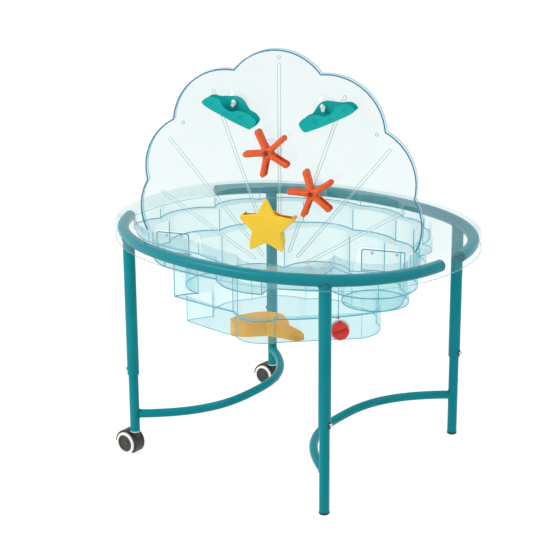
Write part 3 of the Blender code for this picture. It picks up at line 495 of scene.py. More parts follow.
# ------------------------------------------------------------------ camera
fwd = Vector((-0.5998 * cos(radians(17.81)), 0.8002 * cos(radians(17.81)), -sin(radians(17.81))))
right = Vector((0.8002, 0.5998, 0.0))
up = right.cross(fwd).normalized()
r2, u2 = (right - up * 0.0062).normalized(), (up + right * 0.0062).normalized()
cam_data = bpy.data.cameras.new("camera")
cam_data.sensor_width, cam_data.lens = 36.0, 103.9
cam_data.clip_start, cam_data.clip_end = 0.05, 60
cam = bpy.data.objects.new("camera", cam_data)
SCENE.collection.objects.link(cam)
cam.matrix_world = frame_at((2.398, -3.292, 1.800), r2, u2, -fwd)
SCENE.camera = cam

# ------------------------------------------------------------------ basin
def edge_weights(bm, strips):
    """1 inside the rounded strips, 0 elsewhere, as the point attribute 'edge'."""
    layer = bm.verts.layers.float.get("edge") or bm.verts.layers.float.new("edge")
    strips = set(strips)
    for f in strips:
        for v in f.verts:
            if all(g in strips for g in v.link_faces):
                v[layer] = 1.0


def round_sheet(bm, width, segs=3, angle=30.0, only=None):
    edges = [e for e in bm.edges if len(e.link_faces) == 2 and e.calc_face_angle(0) > radians(angle) and (only is None or only(e))]
    r = bmesh.ops.bevel(bm, geom=edges, offset=width, offset_type="OFFSET", segments=segs, profile=0.5,
                        affect="EDGES", clamp_overlap=True, loop_slide=True)
    edge_weights(bm, r["faces"])


bowl = [(BOWL[0] + BOWL[2] * cos(2 * pi * i / 64), BOWL[1] + BOWL[2] * sin(2 * pi * i / 64)) for i in range(64)]
cavity = solid("cavity", lobed(OPENING, 0.009), Z1, RIM_Z)
for nm, outline, z, top in (("c2", lobed(LEDGE_2, 0.009), Z2, Z1), ("c3", lobed(LEDGE_3, 0.009), Z3, Z2),
                            ("c4", lobed(FLOOR_4, 0.009), Z4, Z3), ("cb", bowl, BOWL[3], Z2)):
    boolean(cavity, solid(nm, outline, z, top + 0.0006), "UNION")
bm = bmesh.new()
bm.from_mesh(cavity.data)
bpy.data.objects.remove(cavity, do_unlink=True)
bmesh.ops.remove_doubles(bm, verts=bm.verts, dist=0.00005)
bmesh.ops.delete(bm, geom=[f for f in bm.faces if min(v.co.z for v in f.verts) > RIM_Z - 0.0001], context="FACES")
bmesh.ops.reverse_faces(bm, faces=bm.faces)
mouth = [e for e in bm.edges if len(e.link_faces) == 1]
rim = rim_outline(0.0)
rim_v = [bm.verts.new((x, y, RIM_Z)) for x, y in rim]
rim_e = [bm.edges.new((rim_v[i], rim_v[(i + 1) % len(rim_v)])) for i in range(len(rim_v))]
fill = bmesh.ops.triangle_fill(bm, edges=mouth + rim_e, use_beauty=True, normal=(0, 0, 1))
skirt = bmesh.ops.extrude_edge_only(bm, edges=rim_e)
low = [g for g in skirt["geom"] if isinstance(g, bmesh.types.BMVert)]
for v in low:
    v.co.z = SKIRT_Z
rim_line = {tuple(sorted((e.verts[0].index, e.verts[1].index))) for e in rim_e}
edge_layer = bm.verts.layers.float.new("edge")
rim_set = set(rim_v)
low_set = set(low)
bm.normal_update()
round_sheet(bm, 0.0075, 4, 30.0, only=lambda e: e.verts[0] in rim_set and e.verts[1] in rim_set)
for v in bm.verts:
    v[edge_layer] = 0.0
round_sheet(bm, 0.0030, 3, 30.0, only=lambda e: not (abs(e.verts[0].co.z - SKIRT_Z) < 0.05 and hypot(e.verts[0].co.x / RIM_A, e.verts[0].co.y / RIM_B) > 0.955 and
                                                 abs(e.verts[0].co.z - RIM_Z) < 0.012))
# the ledges' edges pipe the most colour, the floor's and the mouth's less; the flange and skirt have nearly none
calm = bm.verts.layers.float.new("calm")
for v in bm.verts:
    x, y, z = v.co
    out_r = (abs(x / RIM_A) ** RIM_N + abs(y / RIM_B) ** RIM_N) ** (1 / RIM_N)
    v[calm] = 1.0 if out_r > 0.955 and z > SKIRT_Z - 0.001 else 0.55 if z > RIM_Z - 0.0006 else 0.0
    if z < Z4 + 0.005:
        v[edge_layer] *= 0.20
    elif z > RIM_Z - 0.006:
        v[edge_layer] *= 0.15
    else:
        v[edge_layer] *= 0.45
tub = obj_from(bm, "v_tub")
piece(tub, "v_tub", "table", CLEAR, "clear_plastic", "tub", angle=40)
# the moulding's corners pipe the tint, so each ledge's foot and each cusp shows as a fine deep line
for nm, cusps, z0, z1, r, mat in (("upper", OPENING, Z1, RIM_Z - 0.006, 0.0013, CLEAR_EDGE), ("ledge", LEDGE_2, Z2, Z1, 0.0015, CLEAR_EDGE),
                                  ("lower_ledge", LEDGE_3, Z3, Z2, 0.0015, CLEAR_EDGE), ("floor", FLOOR_4, Z4, Z3, 0.0011, CLEAR_SOFT)):
    loop = offset(lobed(cusps, 0.009), -0.0016)
    obs = [rod("line", [(x, y, z0 + 0.0016) for x, y in loop], r, 8, closed=True)]
    whole = lobed(cusps, 0.009)
    for cx, cy, _ in cusps:
        i = min(range(len(whole)), key=lambda i: hypot(whole[i][0] - cx, whole[i][1] - cy))
        qx, qy = loop[i]
        obs.append(rod("line", [(qx, qy, z0 + 0.002), (qx, qy, (z0 + z1) / 2), (qx, qy, z1 - 0.001)], r * 0.70, 8))
    piece(merge(*obs), "v_tub_lines_" + nm, "table", mat, "clear_plastic")
piece(rod("line", [(BOWL[0] + (BOWL[2] - 0.0016) * cos(2 * pi * i / 64), BOWL[1] + (BOWL[2] - 0.0016) * sin(2 * pi * i / 64), BOWL[3] + 0.0016) for i in range(64)],
          0.0014, 8, closed=True), "v_tub_lines_bowl", "table", CLEAR_EDGE, "clear_plastic")
bead = rod("v_tub_skirt_edge", [(x, y, SKIRT_Z + 0.0011) for x, y in rim_outline(0.0004)], 0.0011, 10, closed=True)
piece(bead, "v_tub_skirt_edge", "table", CLEAR_SKIRT, "clear_plastic")

# ------------------------------------------------------------------ panel
TOP_LOBES = [(0.372, 0.6040, 0.26), (0.367, 0.745, 0.34), (0.288, 0.916, 0.42), (0.117, 1.055, 0.49),
             (-0.117, 1.055, 0.42), (-0.288, 0.916, 0.34), (-0.367, 0.745, 0.26), (-0.372, 0.6040, 0.0)]
TONGUE = [(-0.346, 0.6040, 0.0), (-0.338, 0.6085, 0.0), (-0.228, 0.6085, 0.0), (-0.218, 0.6000, 0.0), (-0.206, 0.540, 0.0),
          (-0.186, 0.522, 0.0), (0.186, 0.522, 0.0), (0.206, 0.540, 0.0), (0.218, 0.6000, 0.0),
          (0.228, 0.6085, 0.0), (0.338, 0.6085, 0.0), (0.346, 0.6040, 0.0)]
shell = lobed(TOP_LOBES + TONGUE, 0.008)
n_edge = sum(len(arc(TOP_LOBES[i][:2], TOP_LOBES[i + 1][:2], TOP_LOBES[i][2], 0.008)) for i in range(7)) + 1
bm = bmesh.new()
front = [bm.verts.new((x, y, 0.0)) for x, y in shell]
loop = [bm.edges.new((front[i], front[(i + 1) % len(front)])) for i in range(len(front))]
holes = []
for u, z in ((0.006, 1.093), (-0.259, 0.908), (0.265, 0.908)):
    ring = [bm.verts.new((u + 0.0034 * cos(2 * pi * i / 20), z + 0.0034 * sin(2 * pi * i / 20), 0.0)) for i in range(20)]
    holes += [bm.edges.new((ring[i], ring[(i + 1) % 20])) for i in range(20)]
bmesh.ops.triangle_fill(bm, edges=loop + holes, use_beauty=True, normal=(0, 0, 1))
lip = bmesh.ops.extrude_edge_only(bm, edges=loop)
moved = {v for v in lip["geom"] if isinstance(v, bmesh.types.BMVert)}
top_key = {(round(x, 5), round(y, 5)) for x, y in shell[:n_edge]}
for v in moved:
    v.co.z = -PANEL_LIP if (round(v.co.x, 5), round(v.co.y, 5)) in top_key else -0.004
bmesh.ops.recalc_face_normals(bm, faces=bm.faces)
if max(bm.faces, key=lambda f: f.calc_area()).normal.z < 0:
    bmesh.ops.reverse_faces(bm, faces=bm.faces)
front_set = set(front)
bm.verts.layers.float.new("edge")
bm.normal_update()
round_sheet(bm, 0.0026, 3, 30.0, only=lambda e: e.verts[0] in front_set and e.verts[1] in front_set)
bm.transform(PANEL)
panel = obj_from(bm, "v_panel")
piece(panel, "v_panel", "table", CLEAR_PANEL, "clear_plastic", "panel", angle=40)
back_line = [tuple(PANEL @ Vector((x, y, -PANEL_LIP + 0.0013))) for x, y in offset(shell, -0.0010)[:n_edge]]
piece(rod("v_panel_lip_edge", back_line, 0.0012, 8), "v_panel_lip_edge", "table", CLEAR_LIP, "clear_plastic")
front_line = [tuple(PANEL @ Vector((x, y, -0.0016))) for x, y in offset(shell, -0.0020)[:n_edge]]
piece(rod("v_panel_front_edge", front_line, 0.0020, 10), "v_panel_front_edge", "table", CLEAR_BEAD, "clear_plastic")

FAN = (0.006, 0.507)
RIBS = [(180 - 32.5, 0.080, 0.392), (180 - 49.5, 0.070, 0.470), (180 - 70.0, 0.118, 0.526), (90.0, 0.115, 0.570),
        (70.5, 0.075, 0.527), (51.0, 0.076, 0.470), (31.5, 0.082, 0.394)]
RIB_W = 0.0038
bm = bmesh.new()
for i_rib, (deg, r0, r1) in enumerate(RIBS):
    m = on_panel(FAN[0], FAN[1]) @ Matrix.Rotation(radians(deg), 4, "Z")
    # round-ended ridge with a low crown
    ends = [(r1 - RIB_W + RIB_W * cos(t), RIB_W * sin(t)) for t in [pi * (i / 12 - 0.5) for i in range(13)]]
    ends += [(r0 + RIB_W - RIB_W * cos(t), -RIB_W * sin(t)) for t in [pi * (i / 12 - 0.5) for i in range(13)]]
    levels = []
    for k, h in ((1.0, -0.0001), (0.86, 0.0007), (0.55, 0.0011), (0.15, 0.0012)):
        mid0, mid1 = r0 + RIB_W, r1 - RIB_W
        levels.append([bm.verts.new(m @ Vector((min(max(x, mid0), mid1) + (x - min(max(x, mid0), mid1)) * k, y * k, h))) for x, y in ends])
    for a, b in zip(levels, levels[1:]):
        for j in range(len(ends)):
            bm.faces.new((a[j], a[(j + 1) % len(ends)], b[(j + 1) % len(ends)], b[j]))
    bm.faces.new(levels[-1])
    flank = [tuple(m @ Vector((x, y, 0.0004))) for x, y in ends]
    piece(rod("flank", flank, 0.00062, 8, closed=True), "v_panel_rib_flank_%d" % i_rib, "table", RIB_LINE, "clear_plastic")
bmesh.ops.recalc_face_normals(bm, faces=bm.faces)
piece(obj_from(bm, "v_panel_ribs"), "v_panel_ribs", "table", CLEAR_RIB, "clear_plastic")
for k, (u, z) in enumerate(((0.006, 1.093), (-0.259, 0.908), (0.265, 0.908))):
    ring = [tuple(PANEL @ Vector((u + 0.0036 * cos(2 * pi * i / 24), z + 0.0036 * sin(2 * pi * i / 24), 0.0))) for i in range(24)]
    piece(rod("eyelet", ring, 0.0007, 8, closed=True), "v_panel_hole_rim_%d" % k, "table", CLEAR_BEAD, "clear_plastic")

for nm, (u0, u1) in {"left": (-0.345, -0.250), "right": (0.227, 0.345)}.items():
    zb, zt = Z2 + GAP, 0.6035
    bm = bmesh.new()
    path = [(0.0, zt), (0.0, zb), (-0.016, zb)]
    cols = [[bm.verts.new((u, z, d)) for d, z in path] for u in (u0, u1)]
    for i in range(2):
        bm.faces.new((cols[0][i], cols[0][i + 1], cols[1][i + 1], cols[1][i]))
    bmesh.ops.recalc_face_normals(bm, faces=bm.faces)
    bm.verts.layers.float.new("edge")
    round_sheet(bm, 0.003, 3)
    bm.transform(PANEL)
    piece(obj_from(bm, "bracket"), "v_panel_bracket_" + nm, "table", CLEAR_PANEL, "clear_plastic", "panel_bracket_" + nm)
    corner = [[(cu + 0.006 * cos(t), zt - 0.0015 - 0.006 + 0.006 * sin(t), -0.001) for t in arc_t]
              for cu, arc_t in ((u0 + 0.0075, [pi - pi / 2 * i / 5 for i in range(6)]), (u1 - 0.0075, [pi / 2 - pi / 2 * i / 5 for i in range(6)]))]
    line = [(u0 + 0.0015, zb + 0.002, -0.001)] + corner[0] + corner[1] + [(u1 - 0.0015, zb + 0.002, -0.001)]
    line = [tuple(PANEL @ Vector(p)) for p in line]
    foot = [tuple(PANEL @ Vector(p)) for p in ((u0 + 0.0015, zb + 0.0016, -0.0150), (u1 - 0.0015, zb + 0.0016, -0.0150))]
    piece(rod("bf", foot, 0.0013, 8), "v_panel_bracket_foot_" + nm, "table", CLEAR_BEAD, "clear_plastic")
    piece(rod("b", line, 0.0014, 8), "v_panel_bracket_edge_" + nm, "table", CLEAR_BEAD, "clear_plastic")
    for k, us in enumerate((u0 + 0.030, u1 - 0.022)):
        prof = rounded([(0.0, -0.0085), (0.0019, -0.0085), (0.0019, GAP), (0.0042, GAP), (0.0042, 0.0012), (0.0030, 0.0025), (0.0, 0.0027)], 0.0004, 2)
        s = lathe("s", prof, on_panel(us, 0.5945), 24)
        boolean(s, solid("slot", [(-0.0026, -0.0005), (0.0026, -0.0005), (0.0026, 0.0005), (-0.0026, 0.0005)], 0.0017, 0.005, on_panel(us, 0.5945)))
        piece(s, "v_bracket_screw_%s_%d" % (nm, k + 1), "table", STEEL, "screw_steel", "bracket_screw_%s_%d" % (nm, k + 1))

# ------------------------------------------------------------------ ring, legs and braces
def ring_path(a0, a1, n=90):
    return [(*rim_point(rim_param(a0 + (a1 - a0) * i / n), RING_INSET), RING_Z) for i in range(n + 1)]


ARCS = {"ring_front": (radians(199.0), radians(354.0)), "ring_rear": (radians(5.5), radians(155.0))}
PLUGS = {"ring_front": ("ring_plug_front_left", "ring_plug_front_right"), "ring_rear": ("ring_plug_rear_right", "ring_plug_rear_left")}
for nm, (a0, a1) in ARCS.items():
    path = ring_path(a0, a1)
    piece(rod(nm, path, RING_R, 32), "v_" + nm, "table", TEAL, "teal_paint", nm)
    for end, nxt, plug in ((0, 1, PLUGS[nm][0]), (-1, -2, PLUGS[nm][1])):
        p = Vector(path[end])
        m = Matrix.Translation(p) @ (p - Vector(path[nxt])).normalized().to_track_quat("Z", "Y").to_matrix().to_4x4()
        prof = rounded([(0.0, -0.003), (RING_R - 0.0008, -0.003), (RING_R + 0.0002, 0.0002), (RING_R - 0.0004, 0.0034), (RING_R - 0.0030, 0.0048), (0.0, 0.0052)], 0.0010)
        piece(lathe("plug", prof, m, 36), "v_" + plug, "table", PLUG, "black_plastic", plug)


def brace_path(s, n=44):
    pts = []
    for i in range(n + 1):
        v = -1 + 2 * i / n
        pts.append((s * (LEG_X - BRACE_BOW * (1 - abs(v) ** 2.6)), v * LEG_Y, BRACE_Z))
    return pts


def weld_loop(centre, axis, radius, bead_r, squash_dir=None, n=40):
    q = Vector(axis).normalized().to_track_quat("Z", "Y")
    return [tuple(Vector(centre) + q @ Vector((radius * cos(2 * pi * i / n), radius * sin(2 * pi * i / n), 0))) for i in range(n)]


for nm, (x, y) in LEGS.items():
    at = Matrix.Translation((x, y, 0))
    out = 1 if x > 0 else -1
    side = Matrix.Translation((x, y, SCREW_Z)) @ Vector((out, 0, 0)).to_track_quat("Z", "Y").to_matrix().to_4x4()
    prof = [(LEG_R - 0.0018, UPPER_LEG_END + 0.05), (LEG_R - 0.0018, UPPER_LEG_END), (LEG_R, UPPER_LEG_END), (LEG_R, RING_Z - 0.004)]
    prof = rounded(prof, 0.0006, 3)
    piece(lathe("u", prof, at, 44), "v_upper_leg_" + nm, "table", TEAL, "teal_paint", "upper_leg_" + nm)
    # weld between the leg and the ring tube: a saddle line round the leg
    n = 56
    g = Vector(rim_point(rim_param(atan2(y, x)), RING_INSET)) - Vector(rim_point(rim_param(atan2(y, x) + 0.02), RING_INSET))
    g.normalize()
    line = []
    for i in range(n):
        a = 2 * pi * i / n
        d = Vector((cos(a), sin(a)))
        off = abs(d.cross(g)) * LEG_R * 0.94        # distance from the tube's axis
        line.append((x + LEG_R * 1.01 * d.x, y + LEG_R * 1.01 * d.y, RING_Z - sqrt(max(RING_R ** 2 - off ** 2, 1e-8))))
    piece(rod("weld", line, 0.0021, 8, closed=True, wobble=0.35), "v_ring_weld_" + nm, "table", WELD, "teal_paint")
    # height screw: washer, domed head with a hex socket, shank
    w = lathe("w", rounded([(0.0032, LEG_R - 0.0006), (0.0072, LEG_R - 0.0006), (0.0072, LEG_R + 0.0024), (0.0032, LEG_R + 0.0024)], 0.0006, 2), side, 28)
    piece(w, "v_height_washer_" + nm, "table", BLACK, "black_plastic")
    h = lathe("h", rounded([(0.0, LOWER_R + 0.0006), (0.0030, LOWER_R + 0.0006), (0.0030, LEG_R + 0.0022), (0.0053, LEG_R + 0.0022), (0.0050, LEG_R + 0.0048),
                            (0.0034, LEG_R + 0.0062), (0.0, LEG_R + 0.0062)], 0.0008, 3), side, 32)
    hexa = [(0.0021 * cos(pi * i / 3), 0.0021 * sin(pi * i / 3)) for i in range(6)]
    boolean(h, solid("hex", hexa, LEG_R + 0.0044, LEG_R + 0.01, side))
    piece(h, "v_height_screw_" + nm, "table", STEEL, "screw_steel", "height_screw_" + nm)
    body = "left_leg_frame" if x < 0 else "right_leg_frame"
    bottom = CASTER_TOP + 0.0022 if x < 0 else 0.0063
    prof = rounded([(LOWER_R - 0.0015, bottom + 0.02), (LOWER_R - 0.0015, bottom), (LOWER_R, bottom), (LOWER_R, LOWER_TOP), (LOWER_R - 0.0015, LOWER_TOP),
                    (LOWER_R - 0.0015, LOWER_TOP - 0.03)], 0.0005, 3)
    low_leg = lathe("l", prof, at, 44)
    hole = Matrix.Translation((0, 0, -HOLE_PITCH)) @ side
    rim_ring = []
    for i in range(28):
        a = 2 * pi * i / 28
        hy, hz = 0.0037 * cos(a), 0.0037 * sin(a)
        rim_ring.append((x + out * sqrt(LOWER_R ** 2 - hy * hy) * 1.0, y + hy, SCREW_Z - HOLE_PITCH + hz))
    piece(low_leg, "v_lower_leg_" + nm, body, TEAL, "teal_paint", "lower_leg_" + nm)
    # a black disc in the height hole stands for the shade inside the tube: painted shade
    hole_shade_disc = []
    bm = bmesh.new()
    for i in range(28):
        hx, hy, hz = rim_ring[i]
        hole_shade_disc.append(bm.verts.new((hx + out * 0.00025, hy, hz)))
    c = bm.verts.new((x + out * (LOWER_R - 0.0006), y, SCREW_Z - HOLE_PITCH))
    for i in range(28):
        bm.faces.new((hole_shade_disc[i], hole_shade_disc[(i + 1) % 28], c))
    bmesh.ops.recalc_face_normals(bm, faces=bm.faces)
    piece(obj_from(bm, "hole"), "v_height_hole_" + nm, body, BLACK, "teal_paint")
    piece(rod("hr", [(hx + out * 0.0002, hy, hz) for hx, hy, hz in rim_ring], 0.0004, 6, closed=True), "v_height_hole_rim_" + nm, body, TEAL, "teal_paint")

for nm in ("front", "right"):
    x, y = LEGS[nm]
    prof = rounded([(0.0, 0.0), (LOWER_R - 0.0010, 0.0), (LOWER_R + 0.0007, 0.0016), (LOWER_R + 0.0007, 0.0060), (LOWER_R - 0.0016, 0.0060), (LOWER_R - 0.0016, 0.02), (0.0, 0.02)], 0.0008, 3)
    piece(lathe("f", prof, Matrix.Translation((x, y, 0)), 40), "v_foot_plug_" + nm, "right_leg_frame", BLACK, "black_plastic", "foot_plug_" + nm)

for nm, s in (("left", -1), ("right", 1)):
    body = nm + "_leg_frame"
    pts = brace_path(s)
    # the ends run into the legs, where the weld hides them
    for end, sg in ((0, -1), (-1, 1)):
        pts[end] = (pts[end][0], pts[end][1] - sg * 0.004, pts[end][2])
    piece(rod("brace", pts, BRACE_R, 28), "v_brace_" + nm, body, TEAL, "teal_paint", "brace_" + nm)
    for end, nxt, k in ((0, 2, "front"), (-1, -3, "rear")):
        p, q = Vector(pts[end]), Vector(pts[nxt])
        d = (q - p).normalized()
        leg = Vector((s * LEG_X, (-1 if end == 0 else 1) * LEG_Y, BRACE_Z))
        side_v = d.cross(Vector((0, 0, 1))).normalized()
        line = []
        for i in range(44):
            a = 2 * pi * i / 44
            w = BRACE_R * cos(a)
            along = sqrt(max(LOWER_R ** 2 - w * w, 0.0)) if abs(w) < LOWER_R else 0.0
            line.append(tuple(leg + d * (along + 0.0006) + side_v * w + Vector((0, 0, BRACE_R * sin(a)))))
        piece(rod("weld", line, 0.0019, 8, closed=True, wobble=0.4), "v_brace_weld_%s_%s" % (nm, k), body, WELD, "teal_paint")

# ------------------------------------------------------------------ casters
for nm in ("left", "back"):
    x, y = LEGS[nm]
    at = Matrix.Translation((x, y, 0))
    ax = frame_at((x - CASTER_TRAIL, y, WHEEL_R), (1, 0, 0), (0, 0, 1), (0, -1, 0))
    prof = rounded([(STEM_I := 0.0062, CASTER_TOP), (LOWER_R + 0.0006, CASTER_TOP), (LOWER_R + 0.0006, CASTER_TOP + 0.0020), (LOWER_R - 0.0018, CASTER_TOP + 0.0022),
                    (LOWER_R - 0.0018, CASTER_TOP + 0.028), (0.0062, CASTER_TOP + 0.028)], 0.0006, 2)
    piece(lathe("bush", prof, at, 36), "v_caster_bush_" + nm, "left_leg_frame", WHITE, "white_plastic", "caster_bush_" + nm)
    drum = lathe("drum", rounded([(0.0, -HOOD_W), (HOOD_R - 0.0015, -HOOD_W), (HOOD_R, -HOOD_W + 0.004), (HOOD_R, HOOD_W - 0.004), (HOOD_R - 0.0015, HOOD_W), (0.0, HOOD_W)], 0.003, 4), ax, 72)
    stem_block = lathe("sb", [(0.0, CASTER_TOP - 0.0351), (0.0128, CASTER_TOP - 0.0351), (0.0128, CASTER_TOP - 0.0006), (0.0, CASTER_TOP - 0.0006)], at, 40)
    boolean(drum, stem_block, "UNION")
    for sg in (-1, 1):
        z0, z1 = (HOOD_WEB, HOOD_WEB + 0.03) if sg > 0 else (-HOOD_WEB - 0.03, -HOOD_WEB)
        boolean(drum, lathe("room", [(0.0, z0), (WHEEL_R + 0.0013, z0), (WHEEL_R + 0.0013, z1), (0.0, z1)], ax, 72))
    boolean(drum, solid("mouth", [(-0.05, -0.05), (0.021, -0.05), (0.021, -0.0005), (-0.05, -0.0005)], -0.03, 0.03, ax))
    boolean(drum, solid("floor", [(0.0, -0.05), (0.05, -0.05), (0.05, -0.023), (0.0, -0.023)], -0.031, 0.031, ax))
    boolean(drum, lathe("neck", [(0.0, CASTER_TOP - 0.0006), (LOWER_R + 0.0012, CASTER_TOP - 0.0006), (LOWER_R + 0.0012, CASTER_TOP + 0.02), (0.0, CASTER_TOP + 0.02)], at, 40))
    boolean(drum, lathe("boss", [(0.0, -HOOD_WEB), (0.0075, -HOOD_WEB), (0.0075, HOOD_WEB), (0.0, HOOD_WEB)], ax, 32), "UNION")
    boolean(drum, lathe("stem", [(0.0, CASTER_TOP - 0.006), (0.0055, CASTER_TOP - 0.006), (0.0055, CASTER_TOP + 0.026), (0.0, CASTER_TOP + 0.028)], at, 24), "UNION")
    soften(drum, 0.0009, 2, 38)
    piece(drum, "v_caster_hood_" + nm, "caster_" + nm, BLACK, "black_plastic", "caster_hood_" + nm, angle=30)
    piece(lathe("axle", rounded([(0.0, -0.020), (0.003, -0.020), (0.003, 0.020), (0.0, 0.020)], 0.0006, 2), ax, 24), "v_caster_axle_" + nm, "caster_" + nm, STEEL, "screw_steel", "caster_axle_" + nm)
    for sg, sn in ((1, "outer"), (-1, "inner")):
        body = "wheel_%s_%s" % (nm, sn)
        a, b = WHEEL_IN, WHEEL_IN + WHEEL_W
        tread = [(HUB_R, a + 0.0004), (WHEEL_R - 0.0016, a + 0.0004), (WHEEL_R, a + 0.0030), (WHEEL_R, b - 0.0034), (WHEEL_R - 0.0022, b - 0.0004), (HUB_R + 0.0006, b), (HUB_R, b - 0.0012)]
        tread = [(r, sg * z) for r, z in rounded(tread, 0.0012, 3)]
        piece(lathe("t", tread, ax, 64, closed=True), "v_wheel_tread_%s_%s" % (nm, sn), body, TREAD, "cream_tread", "wheel_tread_%s_%s" % (nm, sn), angle=50)
        hub = [(0.0034, a + 0.0004), (HUB_R - 0.0002, a + 0.0004), (HUB_R - 0.0002, b - 0.0012), (HUB_R - 0.0018, b - 0.0008), (HUB_R - 0.0034, b - 0.0034), (0.0105, b - 0.0042),
               (0.0090, b - 0.0018), (0.0, b - 0.0014)]
        hub = [(r, sg * z) for r, z in rounded(hub, 0.0008, 3)]
        piece(lathe("h", hub, ax, 64), "v_wheel_hub_%s_%s" % (nm, sn), body, HUB, "grey_plastic", "wheel_hub_%s_%s" % (nm, sn))

# ------------------------------------------------------------------ drain
prof = [(0.0090, -0.0110), (0.0119, -0.0110), (0.0119, 0.0056), (0.0285, 0.0056), (0.0285, 0.0078), (0.0262, 0.0087), (0.0172, 0.0087), (0.0172, 0.0226), (0.0090, 0.0226)]
piece(lathe("d", rounded(prof, 0.0008, 3), DRAIN, 56, closed=True), "v_drain_body", "table", WHITE, "white_plastic", "drain_body")
piece(lathe("g", rounded([(0.0124, 0.0038), (0.0200, 0.0038), (0.0200, 0.0053), (0.0124, 0.0053)], 0.0004, 2), DRAIN, 48, closed=True), "v_drain_gasket", "table", RUBBER, "rubber_seal", "drain_gasket")
nut = solid("nut", [(0.0185 * cos(pi * i / 3), 0.0185 * sin(pi * i / 3)) for i in range(6)], -0.0053, -0.0003, DRAIN)
boolean(nut, lathe("nb", [(0.0, -0.02), (0.0123, -0.02), (0.0123, 0.02), (0.0, 0.02)], DRAIN, 40))
soften(nut, 0.0006, 2, 30)
piece(nut, "v_drain_nut", "table", WHITE, "white_plastic", "drain_nut")
# cap: shallow cup with grip ribs round it and a raised bar across the face
bm = bmesh.new()
segs, ribs = 180, 30
prof = [(0.0177, 0.0090), (0.0230, 0.0090), (0.0236, 0.0098), (0.0236, 0.0236), (0.0222, 0.0256), (0.0196, 0.0262), (0.0176, 0.0246), (0.0, 0.0242)]
rings = []
for j, (r, z) in enumerate(rounded(prof, 0.0006, 2)):
    if r < 1e-6:
        rings.append([bm.verts.new((0, 0, z))])
        continue
    row = []
    for i in range(segs):
        a = 2 * pi * i / segs
        k = 0.00055 * (0.5 + 0.5 * cos(ribs * a)) if r > 0.0215 else 0.0
        row.append(bm.verts.new(((r - 0.0004 + k) * cos(a), (r - 0.0004 + k) * sin(a), z)))
    rings.append(row)
for a, b in zip(rings, rings[1:]):
    for i in range(segs):
        if len(b) == 1:
            bm.faces.new((a[i], a[(i + 1) % segs], b[0]))
        else:
            bm.faces.new((a[i], a[(i + 1) % segs], b[(i + 1) % segs], b[i]))
inner = [(0.0177, 0.0090), (0.0177, 0.0231), (0.0, 0.0231)]
prev = rings[0]
for r, z in inner[1:]:
    row = [bm.verts.new((r * cos(2 * pi * i / segs), r * sin(2 * pi * i / segs), z)) for i in range(segs)] if r else [bm.verts.new((0, 0, z))]
    for i in range(segs):
        if len(row) == 1:
            bm.faces.new((prev[i], prev[(i + 1) % segs], row[0]))
        else:
            bm.faces.new((prev[i], prev[(i + 1) % segs], row[(i + 1) % segs], row[i]))
    prev = row
bmesh.ops.recalc_face_normals(bm, faces=bm.faces)
bm.transform(DRAIN)
piece(obj_from(bm, "cap"), "v_drain_cap", "drain_cap", RED, "red_plastic", "drain_cap")
for k, sg in (("top", 1), ("low", -1)):
    nub = solid("nub", [(-0.0034, 0.0215 * sg), (0.0034, 0.0215 * sg), (0.0034, 0.0268 * sg), (-0.0034, 0.0268 * sg)], 0.0100, 0.0170, DRAIN)
    soften(nub, 0.0012, 3, 30)
    piece(nub, "v_drain_cap_nub_" + k, "drain_cap", RED, "red_plastic")
# the bar across the cap takes the darker red copy: painted shade
bar_at = DRAIN @ Matrix.Rotation(radians(14.0), 4, "Z")
bar = solid("bar", lobed([(-0.0172, -0.0040, 0.0), (0.0172, -0.0040, 0.0), (0.0172, 0.0040, 0.0), (-0.0172, 0.0040, 0.0)], 0.004), 0.0238, 0.0268, bar_at)
soften(bar, 0.0010, 3, 30)
piece(bar, "v_drain_cap_bar", "drain_cap", RED_PAINTED_SHADE, "red_plastic")
BUTTON = DRAIN @ Matrix.Translation((-0.003, 0.0335, 0))
piece(lathe("bt", rounded([(0.0, -0.003), (0.0018, -0.003), (0.0018, 0.0038), (0.0042, 0.0038), (0.0040, 0.0054), (0.0022, 0.0063), (0.0, 0.0064)], 0.0006, 3), BUTTON, 28),
      "v_tether_button", "table", RED, "red_plastic", "tether_button")

